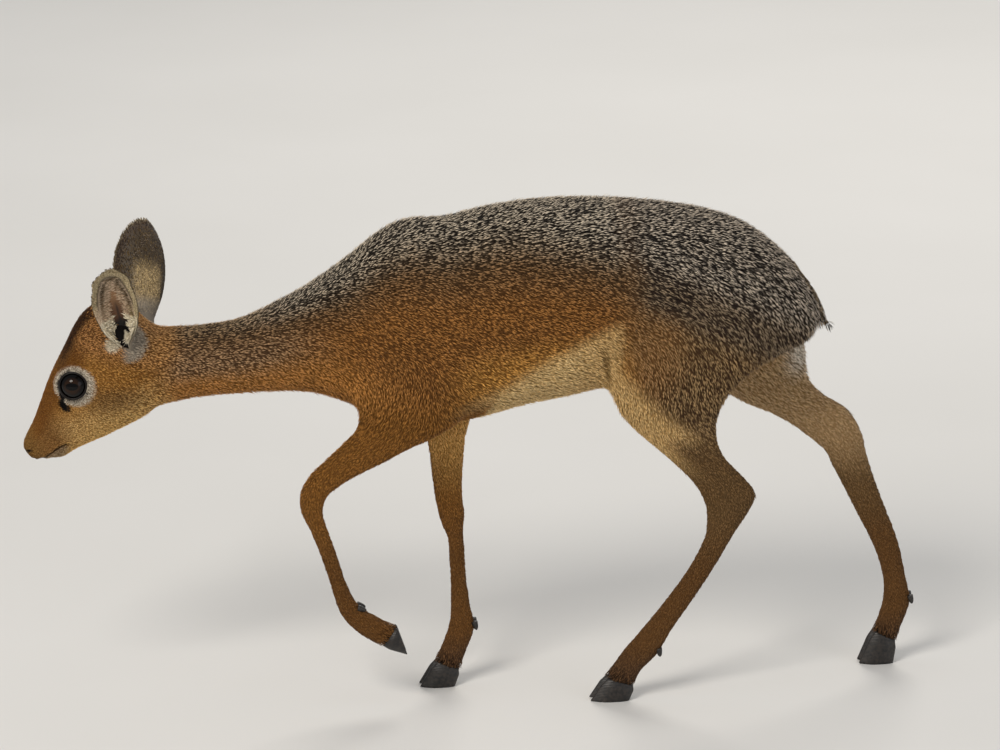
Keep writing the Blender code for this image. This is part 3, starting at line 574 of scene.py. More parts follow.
points = points_of(form)
points = points - normals_of(form) * coat_depth(points)[:, None]
for side in (-1, 1):
    centre = eye_frame(side)[0]
    out, far, u = almond(points, side)
    lid = EYEBALL_RADIUS + LID_REACH * (0.55 + 0.45 * ramp(out, 1.0, 1.25))
    hollow = EYEBALL_RADIUS * LID_HOLLOW
    near = out < 1.9
    on_lid = np.maximum(far, lid)
    wanted = hollow + (on_lid - hollow) * ramp(out, 0.98, 1.07)
    share = 1 - ramp(out, 1.35, 1.9)
    moved = centre + u * (wanted * share + far * (1 - share))[:, None]
    points = np.where(near[:, None], moved, points)
set_points(form, points)
x, y, z = table(points)
normal = normals_of(form)
sink = GLAND_DEPTH * (1 - ramp(gland_offset(x, y, z), 0.2, 1.1))
sink += NOSTRIL_DEPTH * (1 - ramp(nostril_offset(x, y, z), 0.3, 1.15))
gap = line_distance(x, z, MOUTH)
at_mouth = (abs(normal[:, 1]) > MOUTH_FACES) * (x < MOUTH_CORNER)
sink += MOUTH_DEPTH * (1 - ramp(gap, 0.25, 1.25)) * at_mouth
sink -= LIP_SWELL * (1 - ramp(abs(gap - 2.0), 0.3, 1.6)) * at_mouth
points = points - normal * sink[:, None] * MM
set_points(form, points)
form.shade_smooth()


# Markings
# One set of rules paints both skin and hair: pairs of a dark and a pale hair colour for each zone,
# and how many of the hairs are pale, which makes the salt and pepper of the back.
ZONES = {
    "flank": ("#734a21", "#b77e41", 0.33),
    "low flank": ("#9c6b2d", "#dea453", 0.35),
    # The saddle is dark partly in its own grizzled colour and partly as painted shade
    "saddle": ("#43321f", "#a58059", 0.27),
    "neck top": ("#291f16", "#c2a47c", 0.28),
    # The back's pale ticks are bright partly in their own colour and partly as painted sunlight
    "back": ("#1e1814", "#e0d0b8", 0.27),
    "rump": ("#1f1915", "#d6c6b1", 0.25),
    "haunch": ("#33261e", "#a18b6f", 0.25),
    "haunch low": ("#503823", "#b49366", 0.30),
    "haunch front": ("#77532d", "#b38959", 0.33),
    "neck side": ("#593e27", "#c0996f", 0.33),
    # Partly the throat's own paler colour and partly painted light bounced up from the ground
    "neck low": ("#98672c", "#d1914b", 0.40),
    "belly": ("#d3af71", "#f0cf94", 0.50),
    "cream": ("#cba468", "#e8c386", 0.40),
    # Painted shade along the fold where the thigh overlaps the belly
    "fold_shade": ("#62451f", "#84622f", 0.30),
    "inner thigh": ("#ad8a5d", "#d1af81", 0.36),
    "seat": ("#b3a38c", "#f0e4d2", 0.45),
    "fore leg": ("#7d5221", "#a36f32", 0.35),
    "inner leg": ("#d19e55", "#edba6f", 0.40),
    "shank": ("#62492a", "#876741", 0.33),
    "cannon": ("#5c3b19", "#78522a", 0.35),
    "pastern": ("#3a291d", "#694c33", 0.35),
    "cheek": ("#876130", "#dfb675", 0.40),
    "cheek shade": ("#57391d", "#9a7443", 0.34),
    "temple": ("#875822", "#cb954c", 0.33),
    "muzzle": ("#6b451d", "#a27742", 0.33),
    "nose bridge": ("#693f14", "#916029", 0.35),
    # Brow and forehead are dark partly in their own colour and partly as painted shade
    "brow": ("#492e14", "#8e6232", 0.30),
    "forehead": ("#271809", "#5b3a1f", 0.30),
    "crown": ("#5c3818", "#d79c5d", 0.36),
    "behind ear": ("#744b22", "#d8a466", 0.42),
    "nose tip": ("#5f3f1c", "#a77e43", 0.33),
    "lip": ("#6b543a", "#cbb491", 0.45),
    "chin": ("#c3934c", "#fbce7f", 0.40),
    "eye ring": ("#9d8f7c", "#e4d8c4", 0.50),
    "ear foot": ("#9b9283", "#c0b5a3", 0.45),
    "bare black": ("#070605", "#14100e", 0.30),
    "tail": ("#2a221b", "#b09a7c", 0.30),
    "ear back": ("#2a1f13", "#634f30", 0.30),
    "ear margin": ("#33271f", "#6e5a45", 0.25),
    "ear speckle": ("#5e4c2f", "#c7ad7e", 0.42),
    "ear rim": ("#82714f", "#e0cda6", 0.42),
    "ear line": ("#2c1f14", "#4a3523", 0.25),
    "ear fringe": ("#a58a6c", "#ecd3b6", 0.55),
    "ear hollow": ("#8d6543", "#c79868", 0.35),
    "ear low hollow": ("#5a3b26", "#8a6040", 0.35),
    # Painted shade deep in the foot of an ear
    "ear depth shade": ("#0c0908", "#1c1512", 0.30),
    "ear tuft": ("#d3c6a8", "#f8eed6", 0.55),
}


def painted(layers):
    """Dark colour, pale colour and share of pale hairs. Each layer is a zone and how much of it
    covers what lies under it, and the first one covers all."""
    dark, pale, share = np.zeros(3), np.zeros(3), 0.0
    for zone, cover in layers:
        cover = np.clip(cover, 0, 1)
        first, second, part = ZONES[zone]
        dark = dark + cover[:, None] * (linear(first) - dark)
        pale = pale + cover[:, None] * (linear(second) - pale)
        share = share + cover * (part - share)
    return dark, pale, share


# How far the pale ring reaches from the eye's middle: to the rear, the front, above and below
EYE_RING = (15.4, 15.8, 13.2, 16.0)
# How far the bare black lids reach from it
BARE_LID = 10.9
# A line of painted shade where the front edge of the thigh folds over the belly, x and z
FOLD_SHADE_LINE = ((75.5, 300.0), (73.0, 287.0), (76.5, 270.0), (81.5, 252.0))
# Middle of the whitish patch at the front of each ear's foot, x and z from the ear's root
EAR_PATCH = (-12.0, -1.5)
# The tube at an ear's foot, in millimetres: heights, half widths, and how far its back stands off
# the ear's axis
TUBE_HEIGHTS, TUBE_HALVES, TUBE_BACKS = (0, 5.6, 12.5), (8.6, 10.6, 14.0), (-8.4, -9.4, -10.6)


def in_ear(points, side):
    """Two marks for the skin within the foot of an ear: all of it, where black is painted as the shade
    deep in the ear, and its rear part, where whitish hair narrows that painted shade to a slit."""
    root, up, across, faces = ear_frame(side)
    offset = (points - root) / MM
    high = offset @ up
    half = np.interp(high, TUBE_HEIGHTS, TUBE_HALVES) * EAR_CUP[side][0]
    back = np.interp(high, TUBE_HEIGHTS, TUBE_BACKS)
    away = np.hypot(offset @ across, offset @ faces - back - half)
    inside = (high > -6) & (high < 20) & (away < half - 0.4 + 2.0 * ramp(high, 3, 8))
    rearwards = offset @ across * -side
    return inside, inside & (rearwards > 0.6) & (away < half - 2.4)


def eye_plane(points, side):
    """Place beside the middle of an eye opening, across its plane: millimetres rearwards, upwards."""
    centre, look, long_way, short_way = eye_frame(side)
    offset = (points - centre - look * EYEBALL_RADIUS) / MM
    back, up = offset @ long_way, offset @ (short_way * np.sign(short_way[2]))
    return np.where(offset @ look > -20, back, FAR), up


def ring_offset(points, side):
    """Distance from the middle of the eye opening, 1 at the outer edge of the pale ring, which is
    egg-shaped: wide behind and below, narrow in front and above."""
    a, b = eye_plane(points, side)
    rear, front, above, below = EYE_RING
    return np.sqrt((a / np.where(a > 0, rear, front)) ** 2 + (b / np.where(b > 0, above, below)) ** 2)


def markings(points, normals):
    """Dark colour, pale colour and share of pale hairs at each point. Zones are laid one over
    another, each with a soft edge, by place in the ring tables and by the way the skin faces."""
    x, y, z = table(points)
    side = abs(y)
    top = np.interp(x, [r[0] for r in TRUNK], [r[1] for r in TRUNK])
    low = np.interp(x, [r[0] for r in TRUNK], [r[2] for r in TRUNK])
    level = (z - low) / (top - low)
    faces_out = np.sign(y) * normals[:, 1]
    layers = [("flank", np.ones(len(x)))]

    def lay(zone, cover):
        """Lays a zone over all that is there so far."""
        layers.append((zone, cover))

    # Neck and trunk, by the level between the lower and the upper outline
    behind_head = ramp(x, -288, -252)
    on_neck = behind_head * (1 - ramp(x, -190, -120))
    lay("neck side", on_neck)
    bright = graded(x, (-260, -205, -157, -125, -94, -40), (0.48, 0.47, 0.50, 0.44, 0.32, 0.16))
    # The throat is paler and warmer than the neck's side, partly in its own colour and partly as painted
    # bounce light from the ground
    throat = behind_head * (1 - ramp(level, bright - 0.24, bright + 0.06))
    lay("neck low", throat * (1 - ramp(x, -75, -35)) * 0.9)
    lay("low flank", (1 - ramp(level, 0.26, 0.44)) * ramp(x, -60, -10))
    places = (-270, -205, -157, -125, -94, 0, 60, 100, 150, 200)
    grizzled = graded(x, places, (0.80, 0.76, 0.70, 0.66, 0.70, 0.68, 0.62, 0.50, 0.40, 0.2))
    # The band below the top of the back is darker partly in its own colour and partly as painted shade
    lay("saddle", behind_head * ramp(level, grizzled - 0.14, grizzled + 0.14) * (z > 240))
    edge = graded(x, places, (0.92, 0.90, 0.86, 0.86, 0.88, 0.88, 0.80, 0.74, 0.60, 0.4))
    on_top = ramp(level, edge - 0.13, edge + 0.10) * (z > 240)
    lay("neck top", ramp(x, -280, -235) * on_top)
    # The back's pale ticks are bright partly in their own colour and partly as painted sunlight on the top
    # of the back
    lay("back", ramp(x, -230, -150) * on_top)
    # Haunch and belly
    haunch_front = graded(z, (200, 240, 290, 330, 380), (106, 94, 78, 84, 84))
    haunch = ramp(x, haunch_front - 8, haunch_front + 26) * ramp(z, 150, 190)
    lay("haunch front", haunch)
    lay("haunch low", haunch * ramp(x, 118, 152))
    rise = z + 0.42 * (x - 96)
    lay("haunch", ramp(x, 82, 112) * ramp(rise, 312, 338))
    lay("rump", ramp(x, 60, 112) * ramp(rise, 346, 374))
    under = graded(x, (-60, -40, 0, 31, 63, 85, 110), (0.08, 0.12, 0.20, 0.29, 0.37, 0.42, 0.38))
    belly = (1 - ramp(level, under - 0.06, under + 0.05)) * ramp(x, -62, -30) * (1 - ramp(x, 80, 92))
    lay("belly", belly * ramp(z, 205, 226))
    lay("low flank", belly * ramp(x, 40, 78) * 0.3)
    # Legs, each on its own side of the mid plane and between its front and its rear outline
    for name, (rings, own, leaves) in LEGS.items():
        r = np.array(rings, float)
        front = np.interp(z, r[::-1, 1], r[::-1, 0])
        rear = np.interp(z, r[::-1, 3], r[::-1, 2])
        on_side = (np.sign(y) == own) * 1.0
        start = (r[leaves, 1] + r[leaves, 3]) / 2
        on_leg = on_side * (x > front - 12) * (x < rear + 14) * (1 - ramp(z, start - 8, start + 26))
        across = np.clip((x - front) / np.maximum(rear - front, 1), 0, 1)
        if name.startswith("fore"):
            on_leg = on_leg * (x < 40)
            lay("fore leg", on_leg)
            lay("inner leg", on_leg * (1 - ramp(faces_out, -0.55, 0.0)) * ramp(z, 150, 205) * 0.9)
            lay("cannon", on_leg * (1 - ramp(z, 105, 175)) * 0.85)
        else:
            on_leg = on_leg * (x > 60)
            lay("haunch low", on_leg * ramp(across, 0.2, 0.55))
            lay("shank", on_leg * (1 - ramp(z, 192, 228)))
            inner = 1 - ramp(faces_out, -0.45, 0.05)
            lay("inner thigh", on_leg * inner * ramp(z, 150, 200) * 0.9)
            front_edge = (1 - ramp(across, 0.10, 0.48)) * ramp(z, 176, 212)
            lay("cream", on_leg * front_edge * (1 - ramp(x + 1.15 * z, 384, 412)) * 0.95)
            lay("cannon", on_leg * (1 - ramp(z, 95, 160)) * 0.85)
        lay("pastern", on_leg * (1 - ramp(z, 22, 52)) * 0.8)
    # The fold before the thigh, with a line of painted shade along it, the seat and the tail
    lay("cream", ramp(x, 70, 82) * (1 - ramp(x + 1.15 * z, 382, 410)) * ramp(z, 205, 225) * 0.92)
    # A thin darker line of painted shade stands for the shadow under the thigh's front edge
    fold_shade = 1 - ramp(line_distance(x, z, FOLD_SHADE_LINE), 0.7, 3.0)
    lay("fold_shade", fold_shade * (1 - ramp(abs(z - 275), 8, 24)) * (faces_out > 0.3) * 0.8)
    inner_thigh = (1 - ramp(faces_out, -0.4, 0.1)) * ramp(x, 70, 95) * (1 - ramp(z, 278, 296))
    lay("inner thigh", inner_thigh * ramp(z, 190, 215))
    seat = ramp(x, 216, 236) * (1 - ramp(z, 280, 300)) * (1 - ramp(side, 22, 36))
    lay("seat", seat * ramp(z, 236, 262))
    lay("tail", ramp(x, 218, 228) * (1 - ramp(side, 8, 11)) * ramp(z, 282, 290))
    # Head, from the cheeks up to the crown and forward to the nose and the lips
    on_head = 1 - behind_head
    lay("temple", on_head)
    lay("cheek", on_head * (1 - ramp(z - 0.42 * (x + 300), 243, 268)))
    shade = np.hypot((x + 308) / 26, (z - 253) / 13)
    lay("cheek shade", on_head * (1 - ramp(shade, 0.3, 1.3)) * 0.65)
    lay("muzzle", (1 - ramp(x + 0.45 * (z - 215), -350, -326)) * on_head)
    jaw = (1 - ramp(normals[:, 2], -0.85, -0.15)) * ramp(x, -352, -338)
    lay("chin", on_head * jaw * (1 - ramp(z, 268, 290)))
    axis_up = 0.55 * normals[:, 2] - 0.83 * normals[:, 0]
    bridge = ramp(axis_up, 0.15, 0.62) * on_head * (1 - ramp(x, -330, -316))
    lay("nose bridge", bridge)
    # Brow and forehead are darkened partly in their own colour and partly as painted shade on the front of
    # the head
    lay("brow", on_head * ramp(z, 268, 280) * (1 - ramp(side, 12, 19.5)) * (1 - ramp(x, -326, -308)))
    lay("crown", ramp(z + 0.25 * (x + 300), 276, 294) * on_head * ramp(x, -338, -326))
    lay("forehead", (1 - ramp(side, 8, 15)) * ramp(z, 276, 290) * (1 - ramp(x, -318, -308)) * on_head)
    lay("behind ear", ramp(x, -290, -280) * (1 - ramp(x, -268, -246)) * ramp(z, 274, 292) * 0.9)
    lay("nose tip", (1 - ramp(x + 0.35 * (z - 205), -366, -352)) * on_head)
    gap = line_distance(x, z, MOUTH)
    lip_line = np.interp(x, [spot[0] for spot in MOUTH], [spot[1] for spot in MOUTH])
    lip = ramp(x, -360, -355) * (1 - ramp(x, -344, -336))
    lay("lip", on_head * ramp(lip_line - z, 0.2, 1.6) * lip * 0.65)
    lay("bare black", on_head * (1 - ramp(gap, 0.4, 1.3)) * (x < -337) * 0.9)
    front_lip = (1 - ramp(z - 0.3 * (x + 366), 200.5, 204)) * (1 - ramp(x, -364, -360))
    lay("bare black", on_head * front_lip * 0.75)
    # Rings of the eyes, feet of the ears, glands and nostrils
    tear = line_distance(x, z, TEAR_LINE)
    lay("eye ring", 1 - ramp(np.minimum(ring_offset(points, -1), ring_offset(points, 1)), 0.86, 1.12))
    lay("bare black", on_head * (1 - ramp(tear, 1.6, 2.8)) * (side > 8))
    for own in (-1, 1):
        lay("bare black", 1 - ramp(np.hypot(*eye_plane(points, own)), BARE_LID - 0.5, BARE_LID + 0.5))
        root_x, _, root_z = EARS[own][0]
        from_ear = np.linalg.norm(points - ear_frame(own)[0], axis=1) / MM
        behind = ramp(x, root_x - 7, root_x + 1)
        lay("ear foot", (1 - ramp(from_ear, 13, 17.5)) * behind * 0.9)
        patch = np.hypot(x - root_x - EAR_PATCH[0], z - root_z - EAR_PATCH[1])
        patch = patch + FAR * (np.sign(y) != own)
        lay("ear tuft", (1 - ramp(patch, 3.5, 7)) * 0.9)
        inside, rear_part = in_ear(points, own)
        # The skin inside each ear's foot is painted near black, as the shade deep in the ear
        lay("ear depth shade", inside)
        lay("ear tuft", rear_part * 0.9)
    lay("bare black", on_head * (1 - ramp(gland_offset(x, y, z), 0.8, 1.25)))
    lay("bare black", on_head * (1 - ramp(nostril_offset(x, y, z), 0.9, 1.4)))
    return painted(layers)


def store(mesh, name, values):
    """Writes an attribute on the points of a mesh: a colour from rows of three, or a number."""
    if values.ndim == 2:
        made = mesh.attributes.new(name, "FLOAT_COLOR", "POINT")
        values = np.hstack([values, np.ones((len(values), 1))])
        made.data.foreach_set("color", values.astype(np.float32).ravel())
    else:
        made = mesh.attributes.new(name, "FLOAT", "POINT")
        made.data.foreach_set("value", values.astype(np.float32))


def mean_tone(dark, pale, share):
    """The mean colour of hairs of which this share is pale."""
    return dark + share[:, None] * (pale - dark)


UNDERFUR_SHADE = 0.68
skin_tones = mean_tone(*markings(points_of(form), normals_of(form))) * UNDERFUR_SHADE
store(form, "marking", skin_tones)

# Underfur is short and woolly. It is seen between the tufts, matt and darker than their tips
underfur, tree = new_material("underfur on skin")
marking = node(tree, "ShaderNodeAttribute", attribute_name="marking")
where = node(tree, "ShaderNodeTexCoord").outputs["Object"]
# Clumps of underfur about 1.5 mm across
clump = node(tree, "ShaderNodeTexNoise", {"Vector": where, "Scale": 650.0, "Detail": 2.0})
fine = node(tree, "ShaderNodeMapRange", {"Value": clump.outputs[0], "To Min": 0.7, "To Max": 1.3})
fur = node(tree, "ShaderNodeMix", {0: 1.0, 6: marking.outputs["Color"], 7: fine.outputs[0]},
           data_type="RGBA", blend_type="MULTIPLY")
relief = node(tree, "ShaderNodeBump", {"Height": clump.outputs[0], "Strength": 0.5, "Distance": 0.0006})
shader = node(tree, "ShaderNodeBsdfPrincipled", {"Base Color": fur.outputs[2], "Roughness": 0.85,
                                                 "Specular IOR Level": 0.12, "Normal": relief.outputs[0]})
node(tree, "ShaderNodeOutputMaterial", {"Surface": shader.outputs[0]})
form.materials.clear()
form.materials.append(underfur)
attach(skin, "root")
flesh = ["head", "neck", "torso", "tail"]
for name in LEGS:
    upper = "forearm" if name.startswith("fore") else "shank"
    flesh += [f"{name}_{part}" for part in (upper, "cannon", "pastern")]
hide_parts(*flesh)


# Eyes
# A dark wet eyeball with a brown iris and a level oblong pupil under the clear cornea, which bulges
# a little. Black bare lid rims frame it.
PUPIL = (0.0050, 0.0030)
IRIS = 0.0074
# As shares of the eyeball's radius: how far the cornea bulges, and how far the ball stays inside
CORNEA_BULGE, EYE_INSIDE = 0.035, 0.012
# Half width of the lid rim, what it gains at the front corner, and its half thickness
RIM_WIDE, RIM_CORNER, RIM_THICK = 0.00125, 0.00045, 0.00075


def eye_material(side):
    """Brown iris with a dark edge and a level pupil, worked out from the place on the ball, under
    a clear wet coat."""
    centre, look = eye_frame(side)[:2]
    made, tree = new_material(f"wet eye {'left' if side < 0 else 'right'}")
    where = node(tree, "ShaderNodeTexCoord").outputs["Object"]
    local = node(tree, "ShaderNodeVectorMath", {0: where, 1: tuple(centre)}, operation="SUBTRACT")

    def along(direction, size):
        """Distance from the eye's middle one way, in sizes."""
        way = tuple(np.asarray(direction) / size)
        dot = node(tree, "ShaderNodeVectorMath", {0: local.outputs[0], 1: way}, operation="DOT_PRODUCT")
        return dot.outputs["Value"]

    level = unit(np.cross(look, [0, 0, 1.0]))
    upright = np.cross(level, look)

    def out_of_oval(wide, tall):
        """The root of the sum of squares along the level and the upright way, 1 at the oval's edge."""
        wide = node(tree, "ShaderNodeMath", {0: along(level, wide), 1: 2.0}, operation="POWER")
        tall = node(tree, "ShaderNodeMath", {0: along(upright, tall), 1: 2.0}, operation="POWER")
        total = node(tree, "ShaderNodeMath", {0: wide.outputs[0], 1: tall.outputs[0]}, operation="ADD")
        return node(tree, "ShaderNodeMath", {0: total.outputs[0], 1: 0.5}, operation="POWER").outputs[0]

    # Streaks of the iris about 0.7 mm apart
    streaks = node(tree, "ShaderNodeTexNoise", {"Vector": where, "Scale": 1400.0, "Detail": 3.0})
    iris = node(tree, "ShaderNodeValToRGB", {"Fac": out_of_oval(IRIS, IRIS)})
    stops = iris.color_ramp.elements
    stops[0].position, stops[0].color = 0.25, rgba("#2f1d10")
    stops[1].position, stops[1].color = 1.0, rgba("#040303")
    stops.new(0.75).color = rgba("#22150c")
    speck = node(tree, "ShaderNodeMapRange", {"Value": streaks.outputs[0], "To Min": 0.6, "To Max": 1.4})
    lit = node(tree, "ShaderNodeMix", {0: 1.0, 6: iris.outputs[0], 7: speck.outputs[0]},
               data_type="RGBA", blend_type="MULTIPLY")
    hole = node(tree, "ShaderNodeMapRange", {"Value": out_of_oval(*PUPIL), "From Min": 0.9, "From Max": 1.1})
    seen = node(tree, "ShaderNodeMix", {0: hole.outputs[0], 6: rgba("#050404"), 7: lit.outputs[2]},
                data_type="RGBA")
    shader = node(tree, "ShaderNodeBsdfPrincipled", {
        "Base Color": seen.outputs[2], "Roughness": 0.5, "IOR": 1.38, "Specular IOR Level": 0.0,
        "Coat Weight": 0.6, "Coat Roughness": 0.02, "Coat IOR": 1.36})
    node(tree, "ShaderNodeOutputMaterial", {"Surface": shader.outputs[0]})
    return made


def eyeball(side):
    """A ball whose rings run around the way it looks. The cornea bulges by a few hundredths of the
    radius, in full up to 20 degrees from that way and not at all past 49."""
    centre, look, long_way, short_way = eye_frame(side)
    v = np.linspace(0.02, math.pi - 0.02, 44)[:, None, None]
    t = np.linspace(0, 2 * math.pi, 64, endpoint=False)[None, :, None]
    radius = EYEBALL_RADIUS * (1 - EYE_INSIDE + CORNEA_BULGE * (1 - ramp(v, 0.35, 0.85)))
    around = np.cos(t) * long_way + np.sin(t) * short_way
    return centre + radius * (np.cos(v) * look + np.sin(v) * around)


def lid_rim(side):
    """A rounded band of bare skin along the almond of the opening. At angle t on the almond the
    profile is an oval, broad along the lid and thin across it, broader at the front corner."""
    centre, look, long_way, short_way = eye_frame(side)
    t = np.linspace(0, 2 * math.pi, 96, endpoint=False)[:, None]
    cos, sin = np.cos(t), np.sin(t)
    flat = cos * LID_HALF[0] * long_way + sin * LID_HALF[1] * (1 - ALMOND * cos**4) * short_way
    reach = math.sqrt(EYEBALL_RADIUS**2 - LID_HALF[0] ** 2)
    out = unit(flat + look * reach)
    away = unit(flat - (flat * out).sum(1, keepdims=True) * out)
    wide = RIM_WIDE + RIM_CORNER * np.clip(-cos, 0, 1) ** 2
    middle = centre + out * (EYEBALL_RADIUS + 0.0006) + away * wide * 0.35
    p = np.linspace(0, 2 * math.pi, 14, endpoint=False)[None, :, None]
    profile = wide[:, None] * np.cos(p) * away[:, None] + RIM_THICK * np.sin(p) * out[:, None]
    return middle[:, None] + profile


def ring_faces(count, around):
    """Quads of a tube that closes on itself both ways."""
    i, j = np.meshgrid(np.arange(count), np.arange(around), indexing="ij")
    k, m = (j + 1) % around, (i + 1) % count
    return np.stack([i * around + j, i * around + k, m * around + k, m * around + j], -1).reshape(-1, 4)


def turned_outward(obj):
    """Points the faces of a closed mesh outwards."""
    work = bmesh.new()
    work.from_mesh(obj.data)
    bmesh.ops.recalc_face_normals(work, faces=work.faces)
    work.to_mesh(obj.data)
    work.free()
    return obj


# Lid rims are bare black skin, wet with tears, so they shine a little. Wrinkles half a millimetre
# apart roughen them
lid_skin, tree = new_material("bare black skin")
where = node(tree, "ShaderNodeTexCoord").outputs["Object"]
wrinkle = node(tree, "ShaderNodeTexNoise", {"Vector": where, "Scale": 1800.0, "Detail": 3.0})
tone = node(tree, "ShaderNodeValToRGB", {"Fac": wrinkle.outputs[0]})
tone.color_ramp.elements[0].color = rgba("#070605")
tone.color_ramp.elements[1].color = rgba("#1d1714")
relief = node(tree, "ShaderNodeBump", {"Height": wrinkle.outputs[0], "Strength": 0.4, "Distance": 0.0003})
shader = node(tree, "ShaderNodeBsdfPrincipled", {"Base Color": tone.outputs[0], "Roughness": 0.4,
                                                 "Specular IOR Level": 0.2, "Normal": relief.outputs[0]})
node(tree, "ShaderNodeOutputMaterial", {"Surface": shader.outputs[0]})

for side, word in ((-1, "left"), (1, "right")):
    rings, wet = eyeball(side), eye_material(side)
    ball = turned_outward(put_mesh(f"eyeball_{word}", rings, tube_faces(*rings.shape[:2]), wet))
    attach(ball, "root")
    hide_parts(f"eye_{word}")
    rings = lid_rim(side)
    rim = turned_outward(put_mesh(f"lid_rim_{word}", rings, ring_faces(*rings.shape[:2]), lid_skin))
    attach(rim, "root")


# Ears
# A blade of skin and cartilage, curled to a tube at its foot and open above. The hollow is bare and
# pinkish brown down its middle, with near black painted shade deep in its foot, and hairy at the edges.
EAR_LENGTH = {-1: 0.0755, 1: 0.0807}
EAR_SKIN = 0.0011
# Height up the ear, half width, half angle of its curl, and how far its back stands off its axis
EAR_RINGS = (
    (0.0, 8.6, 158, -8.4), (0.07, 10.6, 146, -9.4), (0.16, 14.0, 122, -10.6), (0.28, 18.1, 100, -11.4),
    (0.42, 21.2, 84, -11.4), (0.56, 21.9, 72, -10.6), (0.70, 20.4, 64, -9.2), (0.82, 17.0, 58, -7.6),
    (0.92, 11.9, 54, -6.0), (0.98, 6.6, 50, -5.0), (1.0, 3.6, 48, -4.6),
)
EAR_ROWS = smooth_rows(EAR_RINGS, 8)
EAR_FOOT = -0.05


def ear_size(height, column):
    """A size of the ears' rings at a height: half width, half angle or back, columns 1, 2 and 3."""
    return np.interp(height, EAR_ROWS[:, 0], EAR_ROWS[:, column])


def ear_arc(height):
    """Half the way around an ear's ring in millimetres: its half width times its half angle."""
    return ear_size(height, 1) * np.radians(ear_size(height, 2))


def ear_point(side, height, turn):
    """Places on an ear. At a height along it, the ring is an arc of radius r and half angle a: the
    point at turn s lies r sin(s a) across, and r (1 - cos(s a)) out of the arc's back."""
    narrow, cupped, broad_tip, swept = EAR_CUP[side]
    height, turn = np.broadcast_arrays(height, turn)
    half = ear_size(height, 1) * MM * narrow * (1 + broad_tip * ramp(height, 0.75, 0.95))
    back = ear_size(height, 3) * MM
    curl = np.radians(ear_size(height, 2)) * (1 + (cupped - 1) * ramp(height, 0.12, 0.4))
    radius = half / np.where(curl < math.pi / 2, np.sin(curl), 1.0)
    root, up, across, faces = ear_frame(side)
    angle = turn * curl
    beside_axis = radius * np.sin(angle) + swept * MM * np.clip(height, 0, 1) ** 3
    spot = root + (height * EAR_LENGTH[side])[..., None] * up + beside_axis[..., None] * across
    return spot + (back + radius * (1 - np.cos(angle)))[..., None] * faces


def ear_normal(side, height, turn):
    """The way the back of the ear faces at each place, from small steps in height and turn."""
    step = 0.004
    rise = ear_point(side, height + step, turn) - ear_point(side, height - step, turn)
    sweep = ear_point(side, height, turn + step) - ear_point(side, height, turn - step)
    return unit(np.cross(rise, sweep))


def ear_shell(side):
    """Rings of an ear's wall, up its back from one edge to the other and back inside, with the
    height and turn of each place. The wall thins to its edges and its tip."""
    height = np.concatenate([np.linspace(EAR_FOOT, 0.9, 60), np.linspace(0.9, 0.997, 14)[1:]])
    turn = np.sin(np.linspace(-math.pi / 2, math.pi / 2, 44))
    h, s = np.meshgrid(height, turn, indexing="ij")
    middle = ear_point(side, h, s)
    normal = ear_normal(side, np.clip(h, 0.0, 0.99), s * 0.985)
    thick = EAR_SKIN / 2 * (0.35 + 0.65 * (1 - abs(s) ** 6)) * (1 - 0.5 * ramp(h, 0.9, 1.0))
    back = middle + normal * thick[..., None]
    inside = middle - normal * thick[..., None]
    return np.concatenate([back, inside[:, ::-1]], axis=1), h, s


# Thin skin is smooth and a little greasy, pinkish brown in the hollow and dark under the hair of
# the back, with pores a millimetre apart
ear_skin, tree = new_material("thin ear skin")
marking = node(tree, "ShaderNodeAttribute", attribute_name="marking")
where = node(tree, "ShaderNodeTexCoord").outputs["Object"]
pores = node(tree, "ShaderNodeTexNoise", {"Vector": where, "Scale": 900.0, "Detail": 3.0})
fine = node(tree, "ShaderNodeMapRange", {"Value": pores.outputs[0], "To Min": 0.75, "To Max": 1.25})
tone = node(tree, "ShaderNodeMix", {0: 1.0, 6: marking.outputs["Color"], 7: fine.outputs[0]},
            data_type="RGBA", blend_type="MULTIPLY")
relief = node(tree, "ShaderNodeBump", {"Height": pores.outputs[0], "Strength": 0.35, "Distance": 0.0004})
shader = node(tree, "ShaderNodeBsdfPrincipled", {"Base Color": tone.outputs[2], "Roughness": 0.6,
                                                 "Normal": relief.outputs[0]})
node(tree, "ShaderNodeOutputMaterial", {"Surface": shader.outputs[0]})

# How much wider the left ear's rim and fringe are than the right one's
RIM = {-1: 1.6, 1: 1.0}
EAR_SKIN_SHADE = 0.8


def from_margin(side, height, turn):
    """Distance in millimetres from a place on an ear to its edge, the least of that to its side and
    that to its tip, rounded off where they are alike. It is counted in the right ear's rims."""
    to_side = (1 - abs(turn)) * ear_arc(height) * 0.95
    to_tip = (1 - height) * EAR_LENGTH[1] / MM * 0.8
    times = 1 + (RIM[side] - 1) * (0.5 + 0.5 * ramp(turn * -side, -0.4, 0.4))
    return -np.log(np.exp(-to_side / 2) + np.exp(-to_tip / 2)) * 2 / times


